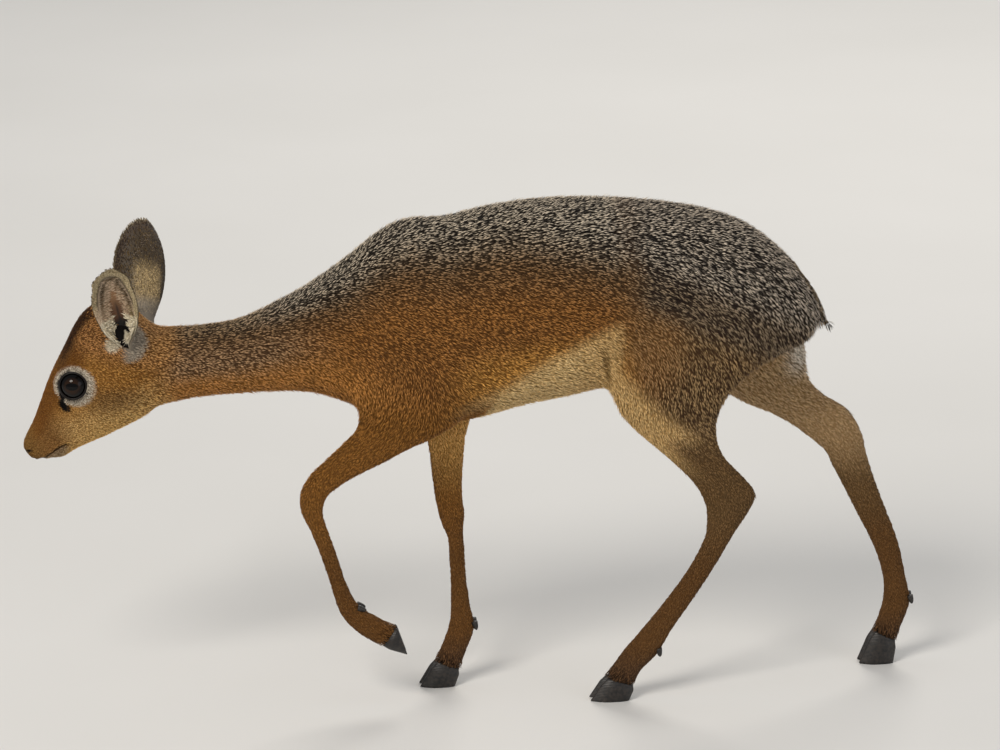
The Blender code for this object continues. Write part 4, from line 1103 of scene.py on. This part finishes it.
def ear_markings(side, height, turn, inner):
    """Tones of an ear: a dark back with a pale speckled lower middle and a grey foot, and within the
    hollow a grizzled rim, a thin dark line, pale fringed sides and a brown middle, with near black
    painted shade at its foot and down a slit."""
    margin = from_margin(side, height, turn)
    rear = turn * -side
    back = 1 - inner
    speckled = (1 - ramp(abs(turn), 0.26, 0.52)) * ramp(height, 0.05, 0.2) * (1 - ramp(height, 0.38, 0.62))
    middle = inner * ramp(margin, 11, 16)
    slit = (1 - ramp(abs(rear + 0.04), 0.015, 0.06)) * (1 - ramp(height, 0.34, 0.50)) * 0.8
    foot = (1 - ramp(height + 0.10 * abs(turn), 0.16, 0.28)) * (1 - ramp(abs(turn), 0.3, 0.5))
    return painted([
        ("ear back", np.ones(len(height))),
        ("ear margin", 1 - ramp(margin, 2, 11)),
        ("ear rim", back * (1 - ramp(margin, 1.2, 2.6)) * 0.35),
        ("ear speckle", speckled),
        ("ear foot", 0.45 * (1 - ramp(height, 0.10, 0.22))),
        ("ear tuft", back * (1 - ramp(height, 0.12, 0.24)) * (1 - ramp(rear, -0.8, -0.5))),
        ("ear rim", inner),
        ("ear line", inner * ramp(margin, 4.6, 5.4) * ramp(height, 0.35, 0.5) * 0.8),
        ("ear fringe", inner * ramp(margin, 5.6, 7.0)),
        ("ear fringe", inner * (rear < 0) * (1 - ramp(height, 0.35, 0.55))),
        ("ear hollow", middle),
        ("ear low hollow", middle * (1 - ramp(height, 0.3, 0.6))),
        # Painted shade: a slit down the lower hollow and the hollow's foot are near black, as the shade deep
        # in the curl
        ("ear depth shade", inner * slit),
        ("ear depth shade", inner * foot),
        ("ear tuft", inner * (1 - ramp(height, 0.24, 0.32)) * ramp(abs(turn), 0.36, 0.5)),
    ])


for side, word in ((-1, "left"), (1, "right")):
    rings, h, s = ear_shell(side)
    ear = turned_outward(put_mesh(f"ear_shell_{word}", rings, tube_faces(*rings.shape[:2]), ear_skin))
    inner = np.concatenate([np.zeros_like(s), np.ones_like(s)], axis=1).ravel()
    height = np.concatenate([h, h[:, ::-1]], axis=1).ravel()
    turn = np.concatenate([s, s[:, ::-1]], axis=1).ravel()
    store(ear.data, "marking", mean_tone(*ear_markings(side, height, turn, inner)) * EAR_SKIN_SHADE)
    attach(ear, "root")
    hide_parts(f"ear_{word}")


# Hooves
# Two claws of black horn on each foot, and two small dewclaws behind each fetlock. A claw is lofted
# from the coronet to its sole, about half a millimetre clear of the leg and 1 mm of the other claw.
CLAW_GAP, CLAW_SPLIT = 0.0004, 0.0005
# Radius and length of a dewclaw, and how deep its root is sunk
DEWCLAW, DEWCLAW_LENGTH, DEWCLAW_SUNK = 0.00252, 0.0072, 0.0052
# Toe and heel of each sole, x and z, and which of the leg's last rings is the fetlock
SOLES = {
    "fore_left": ((-76.5, 42.5), (-84.0, 63.5), -4),
    "fore_right": ((-63.0, 0.0), (-35.0, 0.0), -3),
    "hind_left": ((67.0, 0.0), (98.0, 0.0), -3),
    "hind_right": ((291.5, 0.0), (319.5, 0.0), -3),
}


def claw_rings(name, inner):
    """A claw from the coronet down to its sole, t from 0 to 1. At angle a a ring reaches cos a along
    the foot, from a heel to a toe that narrows with t, and sin a across it, the wall, which flares.
    Inner is 1 for the claw away from the mid plane."""
    rings, side, _ = LEGS[name]
    toe, heel, _ = SOLES[name]
    front_x, front_z, rear_x, rear_z, middle, half = rings[-1]
    y, wide = side * middle, half * MM
    a = np.linspace(0, 2 * math.pi, 36, endpoint=False)
    fore, across = np.cos(a), np.sin(a)
    top_front, top_rear = place(front_x, y, front_z), place(rear_x, y, rear_z)
    low_front, low_rear = place(toe[0], y, toe[1]), place(heel[0], y, heel[1])
    normal = unit(np.cross(top_rear - top_front, [0.0, 1.0, 0.0]))
    normal = normal * np.sign(normal @ (low_front + low_rear - top_front - top_rear))
    sole = unit(np.cross(low_rear - low_front, [0.0, 1.0, 0.0]))
    sole = sole * np.sign(sole @ normal)
    top_front, top_rear = top_front + normal * CLAW_GAP, top_rear + normal * CLAW_GAP
    rows = []
    for t in (*np.linspace(0, 0.95, 18), 0.975, 0.992, 1.0):
        flare = np.interp(t, (0, 0.3, 0.75, 1), (0.97, 1.06, 1.12, 1.10))
        edge = (1 - 0.10 * ramp(t, 0.965, 1.0) ** 2) * (0.84 + 0.16 * ramp(t, -0.05, 0.34))
        front = top_front + (low_front - top_front) * t
        rear = top_rear + (low_rear - top_rear) * t
        taper = 1 - (0.25 + 0.45 * t) * np.clip(fore, 0, 1) ** 2.2
        wall = np.sign(across) * abs(across) ** 0.8 * taper
        wall = np.where(across * inner > 0, wall * flare, wall * 0.98) * edge
        offset = inner * (wide / 2 + CLAW_SPLIT) + wall * (wide / 2)
        row = (front + rear) / 2 + np.outer(fore * edge, (front - rear) / 2)
        row[:, 1] += offset * side
        rows.append(row)
    return np.array(rows)


def leg_path(name):
    """The middle line of a leg from where it leaves the body to the coronet."""
    rings, side, leaves = LEGS[name]
    r = smooth_rows(np.array(rings[leaves:], float), 3)
    return place((r[:, 0] + r[:, 2]) / 2, side * r[:, 4], (r[:, 1] + r[:, 3]) / 2)


def dewclaw_rings(name, out):
    """A small blunt cone behind the fetlock, pointing down and back: rings shrink as a quarter
    circle does towards its tip. Out is 1 for the one away from the mid plane."""
    rings, side, _ = LEGS[name]
    _, _, x, z, middle, half = rings[SOLES[name][2]]
    root = place(x, side * middle + out * half * 0.5, z)
    path = leg_path(name)
    down = unit(unit(path[-1] - path[-4]) * 0.75 + np.array([0.5, 0, -0.1]))
    wide = unit(np.cross(down, [0, 1.0, 0]))
    t = np.linspace(0, 1, 10)[:, None, None]
    a = np.linspace(0, 2 * math.pi, 16, endpoint=False)[None, :, None]
    size = DEWCLAW * np.sqrt(1 - (t * 0.985) ** 2)
    loop = np.cos(a) * wide + np.sin(a) * np.array([0.0, 1.0, 0.0])
    return root - down * DEWCLAW_SUNK + down * t * DEWCLAW_LENGTH + size * loop


# Horn is hard and smooth, so it shines softly. It is brown black, with growth rings 1 mm apart and
# patches of dust 2 mm across
horn, tree = new_material("black hoof horn")
where = node(tree, "ShaderNodeTexCoord").outputs["Object"]
growth = node(tree, "ShaderNodeTexWave", {"Vector": where, "Scale": 260.0, "Distortion": 2.0, "Detail": 2.0},
              bands_direction="Z")
dust = node(tree, "ShaderNodeTexNoise", {"Vector": where, "Scale": 420.0, "Detail": 4.0})
tone = node(tree, "ShaderNodeValToRGB", {"Fac": dust.outputs[0]})
tone.color_ramp.elements[0].position, tone.color_ramp.elements[0].color = 0.35, rgba("#0e0c0b")
tone.color_ramp.elements[1].position, tone.color_ramp.elements[1].color = 0.75, rgba("#332c26")
relief = node(tree, "ShaderNodeBump", {"Height": growth.outputs[0], "Strength": 0.35, "Distance": 0.0003})
shader = node(tree, "ShaderNodeBsdfPrincipled", {"Base Color": tone.outputs[0], "Roughness": 0.45,
                                                 "Normal": relief.outputs[0]})
node(tree, "ShaderNodeOutputMaterial", {"Surface": shader.outputs[0]})
for name in LEGS:
    for word, inner in (("outer", 1), ("inner", -1)):
        rings = claw_rings(name, inner)
        claw = turned_outward(put_mesh(f"{name}_hoof_{word}", rings, tube_faces(*rings.shape[:2]), horn))
        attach(claw, "root")
        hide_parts(f"{name}_claw_{word}")
        rings = dewclaw_rings(name, inner)
        small = turned_outward(put_mesh(f"{name}_dewclaw_{word}", rings, tube_faces(*rings.shape[:2]), horn))
        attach(small, "root")


# Coat
# Thousands of flat pointed tufts, each a few hairs that lie together, rooted in the skin and laid
# along the growth of the hair. A tuft is a spindle of six triangles: a root, three points at its
# widest place, and a tip.
SEED = 3
# Side of each tuft's patch in the UV map, whose own side is 1
TUFT_PATCH = 0.003
TUFT_FACES = np.array([(0, 1, 3), (0, 3, 2), (0, 2, 1), (4, 3, 1), (4, 2, 3), (4, 1, 2)])
# Where along a tuft it is widest, its ridge's height in widths, and how many millimetres of its root
# are sunk
WIDEST, RIDGE, SUNK = 0.58, 0.22, 0.25
# Middle of the pale band along a tuft, and how closely the band is drawn: less than 1 lengthens it
BAND, STREAK = 0.74, 0.66
# How the hair grows: x, z and direction in the side view, for head, neck and trunk
GROWTH = (
    (-371, 208, 0.35, 0.94), (-364, 226, 0.42, 0.9), (-357, 246, 0.45, 0.9), (-349, 272, 0.45, 0.9),
    (-336, 298, 0.5, 0.86), (-320, 316, 0.85, 0.4), (-290, 322, 1.0, -0.1), (-362, 207, 0.9, 0.1),
    (-350, 214, 0.95, -0.25), (-335, 220, 0.92, -0.38), (-315, 228, 0.92, -0.4), (-290, 242, 0.95, -0.3),
    (-348, 232, 0.85, 0.1), (-333, 238, 0.88, -0.45), (-306, 252, 0.92, -0.38), (-308, 275, 0.88, -0.45),
    (-318, 296, 0.62, -0.78), (-306, 300, 0.66, -0.75), (-280, 292, 0.8, -0.6), (-270, 302, 1.0, -0.15),
    (-250, 303, 1.0, -0.05), (-250, 262, 1.0, -0.3), (-200, 307, 1.0, 0.0), (-200, 262, 1.0, -0.35),
    (-160, 325, 1.0, 0.1), (-160, 270, 1.0, -0.5),
    (-110, 365, 1.0, 0.05), (-110, 300, 1.0, -0.5), (-115, 250, 0.8, -0.6), (-40, 385, 1.0, -0.05),
    (-40, 310, 1.0, -0.45), (-45, 240, 0.9, -0.5), (40, 395, 1.0, -0.05), (40, 320, 1.0, -0.35),
    (40, 250, 1.0, -0.2), (120, 392, 1.0, -0.25), (120, 330, 1.0, -0.45), (108, 280, 0.75, -0.65),
    (180, 375, 0.9, -0.5), (170, 330, 0.8, -0.6), (150, 285, 0.55, -0.83), (225, 345, 0.7, -0.75),
    (236, 310, 0.4, -0.92), (205, 290, 0.45, -0.9), (165, 250, 0.42, -0.9),
)
GROWTH_REACH = 26.0
# Middle lines of head and trunk
HEAD_PATH = place([(r[0] + r[2]) / 2 for r in HEAD[:-2]], 0.0, [(r[1] + r[3]) / 2 for r in HEAD[:-2]])
TRUNK_PATH = place([r[0] for r in TRUNK], 0.0, [(r[1] + r[2]) / 2 for r in TRUNK])


def guides():
    """Points with the direction in which hair grows there, on both sides of the body and down the
    middle line of each leg."""
    rows = np.array(GROWTH, float)
    spots, ways = [], []
    for y in (-34.0, 0.0, 34.0):
        spots.append(place(rows[:, 0], y, rows[:, 1]))
        ways.append(np.stack([rows[:, 2], 0 * rows[:, 2], rows[:, 3]], 1))
    for name in LEGS:
        path = leg_path(name)
        spots.append(path)
        ways.append(unit(np.gradient(path, axis=0)) + np.array([0.18, 0.0, 0.0]))
    return np.vstack(spots), unit(np.vstack(ways))


def growth_at(points, normals):
    """The lie of the hair: near guides' directions, weighted by a bell curve of distance, laid flat
    on the skin."""
    spots, ways = guides()
    lie = np.zeros_like(points)
    for start in range(0, len(points), 20000):
        part = slice(start, start + 20000)
        far = ((points[part, None, :] - spots) ** 2).sum(-1) / (GROWTH_REACH * MM) ** 2
        weight = np.exp(-(far - far.min(1, keepdims=True)))
        lie[part] = weight @ ways
    # Around the eyes the hair points away from them
    for side in (-1, 1):
        centre, look = eye_frame(side)[:2]
        away = unit(points - centre - look * EYEBALL_RADIUS)
        near = 1 - ramp(ring_offset(points, side), 0.85, 1.25)
        lie += near[:, None] * (1.6 * away - lie)
    # Only on the tail may it point off the skin
    x, y, z = table(points)
    on_tail = ramp(x, 216, 230) * (1 - ramp(abs(y), 9, 12)) * ramp(z, 278, 286)
    off = (lie * normals).sum(1)
    lie -= np.where(off > 0, off * (1 - on_tail), off)[:, None] * normals
    return unit(lie)


def unwrapped(points, path):
    """Peels a limb off its middle line: u is the angle around it, and v runs along it. The distance
    from it is the third value."""
    a, b = path[:-1], path[1:]
    d = b - a
    best = np.full(len(points), np.inf)
    v, offset, way = np.zeros(len(points)), np.zeros_like(points), np.zeros_like(points)
    length = np.concatenate([[0], np.cumsum(np.linalg.norm(d, axis=1))])
    for i in range(len(a)):
        t = np.clip((points - a[i]) @ d[i] / (d[i] @ d[i]), 0, 1)
        away = points - a[i] - t[:, None] * d[i]
        far = (away**2).sum(1)
        nearer = far < best
        best = np.where(nearer, far, best)
        v = np.where(nearer, length[i] + t * (length[i + 1] - length[i]), v)
        offset = np.where(nearer[:, None], away, offset)
        way = np.where(nearer[:, None], unit(d[i]), way)
    upright = unit(np.cross(way, [0.0, 1.0, 0.0]))
    angle = np.arctan2(offset[:, 1], (offset * upright).sum(1))
    return angle / (2 * math.pi) + 0.5, v / length[-1], np.sqrt(best)


def fit_square(u, v):
    """Stretches u and v so that a piece fills the unit square, apart from a small edge."""
    square = []
    for value in (u, v):
        low, high = value.min(), value.max()
        square.append(0.01 + 0.98 * (value - low) / max(high - low, 1e-9))
    return np.stack(square, 1)


def scattered(mesh, density, rng):
    """Random places on a mesh, so many to the square millimetre at each point: position, normal."""
    mesh.calc_loop_triangles()
    corners = np.empty(len(mesh.loop_triangles) * 3, int)
    mesh.loop_triangles.foreach_get("vertices", corners)
    corners = corners.reshape(-1, 3)
    p, n = points_of(mesh), normals_of(mesh)
    a, b, c = (p[corners[:, i]] for i in range(3))
    area = np.linalg.norm(np.cross(b - a, c - a), axis=1) / 2 / MM**2
    share = np.cumsum(area * density[corners].mean(1))
    count = int(share[-1])
    pick = (np.arange(count) + rng.random(count)) / count * share[-1]
    face = np.minimum(np.searchsorted(share, pick), len(corners) - 1)
    u, v = rng.random(count), rng.random(count)
    flip = u + v > 1
    u, v = np.where(flip, 1 - u, u), np.where(flip, 1 - v, v)
    w = np.stack([1 - u - v, u, v], 1)[..., None]
    return (p[corners[face]] * w).sum(1), unit((n[corners[face]] * w).sum(1))


def tuft_mesh(name, roots, normals, lie, sizes, colours, uv, material):
    """Spindles on their roots. Each goes its length along the lie while it rises by its lift, bends
    back towards the skin, and is widest past its middle."""
    length, width, lift, bend = sizes
    count = len(roots)
    side = np.cross(normals, lie)
    rise = np.sin(lift)[:, None] * normals + np.cos(lift)[:, None] * lie
    start = roots - normals * (SUNK * MM)
    middle = start + rise * (length * WIDEST)[:, None]
    tip = start + rise * length[:, None] - normals * (length * bend)[:, None]
    flank = side * (width / 2)[:, None]
    ridge = normals * (width * RIDGE)[:, None]
    points = np.stack([start, middle + flank, middle - flank, middle + ridge, tip], 1).reshape(-1, 3)
    faces = (np.arange(count)[:, None, None] * 5 + TUFT_FACES).reshape(-1, 3)
    mesh = bpy.data.meshes.new(name)
    mesh.vertices.add(len(points))
    mesh.vertices.foreach_set("co", points.astype(np.float32).ravel())
    mesh.loops.add(len(faces) * 3)
    mesh.loops.foreach_set("vertex_index", faces.astype(np.int32).ravel())
    mesh.polygons.add(len(faces))
    mesh.polygons.foreach_set("loop_start", np.arange(0, len(faces) * 3, 3, dtype=np.int32))
    mesh.update(calc_edges=True)
    mesh.validate()
    base, tick, shift = colours
    store(mesh, "hair", np.repeat(base, 5, axis=0))
    store(mesh, "tick", np.repeat(tick, 5, axis=0))
    along = BAND + (np.array([0.0, WIDEST, WIDEST, WIDEST, 1.0]) - BAND) * STREAK + shift[:, None]
    store(mesh, "along", along.ravel())
    corner = np.array([(0, -0.5), (-0.5, 0.1), (0.5, 0.1), (0, 0.1), (0, 0.5)]) * TUFT_PATCH
    spread = (uv[:, None, :] + corner).reshape(-1, 2)
    layer = mesh.uv_layers.new(name="OFBake")
    layer.data.foreach_set("uv", spread[faces.ravel()].astype(np.float32).ravel())
    mesh.materials.append(material)
    made = bpy.data.objects.new(name, mesh)
    bpy.context.scene.collection.objects.link(made)
    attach(made, "root")


# Hair is keratin with a soft shine. Each hair is dark at its root, with a pale band, the tick, below
# its dark tip, so the coat is salted with short pale dashes
hair, tree = new_material("ticked deer hair")
dark_tone = node(tree, "ShaderNodeAttribute", attribute_name="hair")
pale_tone = node(tree, "ShaderNodeAttribute", attribute_name="tick")
along = node(tree, "ShaderNodeAttribute", attribute_name="along")
band = node(tree, "ShaderNodeValToRGB", {"Fac": along.outputs["Fac"]})
stops = band.color_ramp.elements
# Black is the dark tone, and white the pale one
stops[0].position, stops[0].color = 0.50, (0, 0, 0, 1)
stops[1].position, stops[1].color = 0.92, (0, 0, 0, 1)
for position in (0.62, 0.82):
    stops.new(position).color = (1, 1, 1, 1)
ticked = node(tree, "ShaderNodeMix", {0: band.outputs[0], 6: dark_tone.outputs["Color"],
                                      7: pale_tone.outputs["Color"]}, data_type="RGBA")
shadow = node(tree, "ShaderNodeMapRange", {"Value": along.outputs["Fac"], "From Min": 0.1, "From Max": 0.6,
                                           "To Min": 0.68, "To Max": 1.0})
where = node(tree, "ShaderNodeTexCoord").outputs["Object"]
# Single hairs in a tuft, drawn about 0.4 mm wide so that they show
strand = node(tree, "ShaderNodeTexNoise", {"Vector": where, "Scale": 2600.0, "Detail": 1.0})
fine = node(tree, "ShaderNodeMapRange", {"Value": strand.outputs[0], "To Min": 0.8, "To Max": 1.2})
both = node(tree, "ShaderNodeMath", {0: shadow.outputs[0], 1: fine.outputs[0]}, operation="MULTIPLY")
split = node(tree, "ShaderNodeMix", {0: 1.0, 6: ticked.outputs[2], 7: both.outputs[0]},
             data_type="RGBA", blend_type="MULTIPLY")
shader = node(tree, "ShaderNodeBsdfPrincipled", {"Base Color": split.outputs[2], "Roughness": 0.66,
                                                 "IOR": 1.55, "Specular IOR Level": 0.15})
node(tree, "ShaderNodeOutputMaterial", {"Surface": shader.outputs[0]})


def hair_sizes(points):
    """Length and width of the tufts in millimetres, and how many lie over one another. They are 2
    to 3 long on the muzzle, 4 to 5 on the legs, up to 8 over the hooves and 9 on the rump."""
    x, y, z = table(points)
    places = (-372, -350, -325, -290, -262, -200, -120, 0, 240)
    length = graded(x, places, (2.2, 3.0, 4.0, 5.5, 6.4, 7.2, 8.0, 8.5, 9.0))
    width = graded(x, places, (0.42, 0.48, 0.55, 0.62, 0.66, 0.70, 0.76, 0.80, 0.82))
    layers = graded(x, places, (4.6, 4.6, 4.2, 4.0, 4.0, 4.0, 4.2, 4.3, 4.3))
    foot = np.full(len(x), 1.0)
    for name in LEGS:
        coronet = leg_path(name)[-1]
        foot = np.minimum(foot, np.linalg.norm(points - coronet, axis=1) / 0.030)
    level = (0, 50, 110, 180, 215, 255)
    on_leg = np.where(x > -200, 1 - ramp(z, 222, 262), 0)
    leg_length = graded(z, level, (4.2, 4.2, 4.4, 5.2, 6.4, 8.0)) * (1 + 0.9 * (1 - ramp(foot, 0.2, 0.8)))
    leg_width = graded(z, level, (0.60, 0.60, 0.62, 0.68, 0.74, 0.78))
    length = length * (1 - on_leg) + leg_length * on_leg
    width = width * (1 - on_leg) + leg_width * on_leg
    layers = layers * (1 - on_leg) + 3.8 * on_leg
    behind = ramp(x, 218, 234) * (1 - ramp(abs(y), 14, 26)) * ramp(z, 240, 262) * (1 - ramp(z, 296, 330))
    length = length * (1 + 0.35 * behind)
    return length, width, layers


def bare(points):
    """1 where no hair grows: in the eyes, on the lids' edges, in nostrils and glands, on the line of
    the mouth, in the painted shade of the ears' feet and below the coronets."""
    x, y, z = table(points)
    none = np.zeros(len(x))
    for side in (-1, 1):
        none = np.maximum(none, np.hypot(*eye_plane(points, side)) < BARE_LID - 0.6)
        inside, rear_part = in_ear(points, side)
        none = np.maximum(none, inside & ~rear_part)
    none = np.maximum(none, gland_offset(x, y, z) < 0.55)
    tear = line_distance(x, z, TEAR_LINE)
    none = np.maximum(none, (tear < 1.0) & (abs(y) > 8) & (x < -300))
    none = np.maximum(none, nostril_offset(x, y, z) < 1.0)
    none = np.maximum(none, (line_distance(x, z, MOUTH) < 0.55) & (x < -339))
    for name in LEGS:
        path = leg_path(name)
        down = unit(path[-1] - path[-2])
        offset = points - path[-1]
        none = np.maximum(none, (offset @ down > -0.0006) & (np.linalg.norm(offset, axis=1) < 0.02))
    return none


def region(points):
    """Number of the coat piece each point belongs to, and the pieces' names with their lines."""
    x, y, z = table(points)
    names = {"coat_face_left": HEAD_PATH, "coat_face_right": HEAD_PATH, "coat_neck": TRUNK_PATH[:7],
             "coat_side_left": TRUNK_PATH[5:14], "coat_side_right": TRUNK_PATH[5:14],
             "coat_haunch_left": TRUNK_PATH[12:], "coat_haunch_right": TRUNK_PATH[12:]}
    right = y > 0
    number = np.where(right, 4, 3)
    number = np.where(x > 82, np.where(right, 6, 5), number)
    number = np.where(x < -150, 2, number)
    number = np.where(x < -264, np.where(right, 1, 0), number)
    far = []
    for name in LEGS:
        path = leg_path(name)
        names[f"coat_{name}"] = path
        far.append(unwrapped(points, path)[2])
    far = np.array(far)
    low = z < np.where(x < 40, 232, 242)
    nearest = far.argmin(0)
    number = np.where((x > -200) & low & (far.min(0) < 0.035), 7 + nearest, number)
    return number, names


def hair_tones(dark, pale, share, rng):
    """Base colour of each tuft, colour of its pale band, a small shift of the band along it, and the
    band's strength. Some bands are strong and most are weak, so that their mean is the share."""
    count = len(share)
    strength = ramp(rng.random(count), 1 - share * 1.5 - 0.22, 1 - share * 1.5 + 0.22)
    shade = rng.uniform(0.82, 1.16, count)[:, None]
    ticked = (dark + strength[:, None] * (pale - dark)) * shade
    return dark * shade, ticked, rng.uniform(-0.08, 0.08, count), strength


# Each tuft's size and way differ a little from its neighbours'. One in sixteen stands half as far
# again off the skin, which frays the outline
SWING, STRAYS, STRAY_STANDS = 9, 0.06, 1.5
rng = np.random.default_rng(SEED)
surface = points_of(form)
length_there, width_there, layers = hair_sizes(surface)
density = layers / (length_there * width_there)
roots, facing = scattered(form, density * (1 - bare(surface)), rng)
kept = bare(roots) == 0
roots, facing = roots[kept], facing[kept]
count = len(roots)
number, names = region(roots)
lie = growth_at(roots, facing)
swing = rng.normal(0, math.radians(SWING), count)[:, None]
lie = np.cos(swing) * lie + np.sin(swing) * np.cross(facing, lie)
length, width, _ = hair_sizes(roots)
length = length * rng.uniform(0.72, 1.12, count)
width = width * rng.uniform(0.75, 1.2, count)
depth = coat_depth(roots) / MM
stands = np.where(rng.random(count) < STRAYS, STRAY_STANDS, 1.0) * rng.uniform(0.5, 1.05, count)
dark, pale, share = markings(roots, facing)
tones = hair_tones(dark, pale, share, rng)
stands = stands * (0.85 + 0.45 * tones[3])
# Hair flares over the coronets, and the tail's tip lies flat
coronets = [leg_path(name)[-1] for name in LEGS]
from_coronet = np.min([np.linalg.norm(roots - coronet, axis=1) for coronet in coronets], axis=0) / MM
lift = np.arcsin(np.clip(depth / length * stands, 0, 0.6)) + 0.30 * (1 - ramp(from_coronet, 9, 16))
x, y, z = table(roots)
tail_end = ramp(x, 222, 236) * (1 - ramp(abs(y), 9, 12)) * ramp(z, 270, 282)
lift, length = lift * (1 - 0.5 * tail_end), length * (1 - 0.30 * tail_end)
bend = 0.10 * rng.uniform(0.3, 1.2, count)

for i, (name, path) in enumerate(names.items()):
    own = number == i
    uv = fit_square(*unwrapped(roots[own], path)[:2])
    sizes = (length[own] * MM, width[own] * MM, lift[own], bend[own])
    colours = [tone[own] for tone in tones[:3]]
    tuft_mesh(name, roots[own], facing[own], lie[own], sizes, colours, uv, hair)


# Ear fur
# Short fur covers the backs and the rims of the ears. Long pale hairs stand in from both sides of
# the hollow, and whitish tufts guard its foot.
EAR_FUR_COUNT, FRINGE_COUNT, GUARD_COUNT = 11520, 1300, 500
# Length and width of the tufts in millimetres, their lift and their bend. The guard tufts' length
# comes from the half width of the tube that they close, read as GUARD_LONGEST at most
EAR_FUR_SIZE = (3.6, 0.55, 0.16, 0.1)
FRINGE_SIZE = (9.5, 0.42, 0.26, 0.16)
GUARD_SIZE = (0.9, 0.40, 0.15)
GUARD_LONGEST = 9.0
# Half the way around an ear where that is longest, in millimetres
WIDEST_ARC = 38


def ear_places(count, rng):
    """Random places on an ear, spread evenly over its area: of three times the count, those pass
    that a second draw finds under the share of the widest arc."""
    h, s = rng.uniform(0.0, 0.995, count * 3), rng.uniform(-0.99, 0.99, count * 3)
    kept = rng.random(count * 3) < ear_arc(h) / WIDEST_ARC
    return h[kept][:count], s[kept][:count]


def ear_fur(side, word, rng):
    """Tufts of one ear: fur on its back and rim, the fringe of the hollow and the guard tufts."""
    parts = []
    up, across = ear_frame(side)[1:3]

    def add(h, s, inner, way, length, width, lift, bend):
        """Adds tufts at heights and turns, inside where inner is 1, of a mean size in millimetres."""
        count = len(h)
        back = ear_normal(side, np.clip(h, 0.0, 0.99), s * 0.985)
        normal = np.where(inner[:, None] > 0.5, -back, back)
        roots = ear_point(side, h, s) + normal * EAR_SKIN * 0.45
        way = way - (way * normal).sum(1, keepdims=True) * normal
        tones = hair_tones(*ear_markings(side, h, s, inner), rng)
        uv = np.stack([0.25 + 0.2 * s + 0.5 * inner, 0.02 + 0.94 * np.clip(h, 0, 1)], 1)
        sizes = (length * rng.uniform(0.75, 1.15, count) * MM, width * rng.uniform(0.8, 1.2, count) * MM,
                 lift * rng.uniform(0.6, 1.3, count), bend * np.ones(count))
        parts.append((roots, normal, unit(way), sizes, tones, uv))

    h, s = ear_places(EAR_FUR_COUNT, rng)
    inner = (rng.random(len(h)) < 0.5) * 1.0
    kept = (inner < 0.5) | (from_margin(side, h, s) < 6.0) & (h > 0.12)
    h, s, inner = h[kept], s[kept], inner[kept]
    drift = rng.normal(0, 0.25, len(h)) + 0.35 * s
    add(h, s, inner, up + drift[:, None] * across, *EAR_FUR_SIZE)

    h = rng.uniform(0.24, 0.86, FRINGE_COUNT)
    edge = np.where(rng.random(FRINGE_COUNT) < 0.5, -1, 1)
    times = 1 + (RIM[side] - 1) * np.where(edge == side, 0.5, 1.0)
    s = edge * (1 - (5.4 + rng.uniform(0, 6.5, FRINGE_COUNT)) * times / ear_arc(h))
    inside = -edge[:, None] * across - rng.uniform(0.0, 0.6, FRINGE_COUNT)[:, None] * up
    add(h, s, np.ones(FRINGE_COUNT), inside, *FRINGE_SIZE)

    h = rng.uniform(0.03, 0.27, GUARD_COUNT)
    edge = np.where(rng.random(GUARD_COUNT) < 0.4, side, -side)
    s = edge * rng.uniform(0.42, 0.97, GUARD_COUNT)
    upright = 1 - 0.85 * ramp(h, 0.05, 0.12)
    inside = -0.8 * edge[:, None] * across + upright[:, None] * up
    tube = np.minimum(ear_size(h, 1) * EAR_CUP[side][0], GUARD_LONGEST)
    add(h, s, np.ones(GUARD_COUNT), inside, tube * np.where(edge == -side, 1.1, 0.75), *GUARD_SIZE)
    # All the guard tufts are whitish, whatever lies under them
    whitish = hair_tones(*painted([("ear tuft", np.ones(GUARD_COUNT))]), rng)
    parts[-1] = (*parts[-1][:4], whitish, parts[-1][5])

    roots, normal, way, uv = (np.vstack([part[i] for part in parts]) for i in (0, 1, 2, 5))
    sizes = [np.concatenate([part[3][i] for part in parts]) for i in range(4)]
    tones = [np.concatenate([part[4][i] for part in parts]) for i in range(3)]
    tuft_mesh(f"ear_fur_{word}", roots, normal, way, sizes, tones, uv, hair)


for side, word in ((-1, "left"), (1, "right")):
    ear_fur(side, word, rng)


# Crest
# A flat tuft of longer hair on the crown, between the ears, rufous and streaked. It lies back.
CREST_COUNT = 420
x, y, z = table(roots)
on_crown = (abs(y) < 10) & (x > -326) & (x < -296) & (z > 312)
chosen = rng.choice(np.nonzero(on_crown)[0], CREST_COUNT)
sideways, upwards = rng.normal(0, 0.25, CREST_COUNT), rng.uniform(0.1, 0.5, CREST_COUNT)
way = unit(np.stack([np.ones(CREST_COUNT), sideways, upwards], 1))
sizes = (rng.uniform(9, 14, CREST_COUNT) * MM, rng.uniform(0.8, 1.2, CREST_COUNT) * MM,
         rng.uniform(0.1, 0.45, CREST_COUNT), np.full(CREST_COUNT, 0.22))
uv = fit_square(*unwrapped(roots[chosen], HEAD_PATH)[:2])
tones = hair_tones(*painted([("crown", np.ones(CREST_COUNT))]), rng)
tuft_mesh("coat_crest", roots[chosen], facing[chosen], way, sizes, tones[:3], uv, hair)
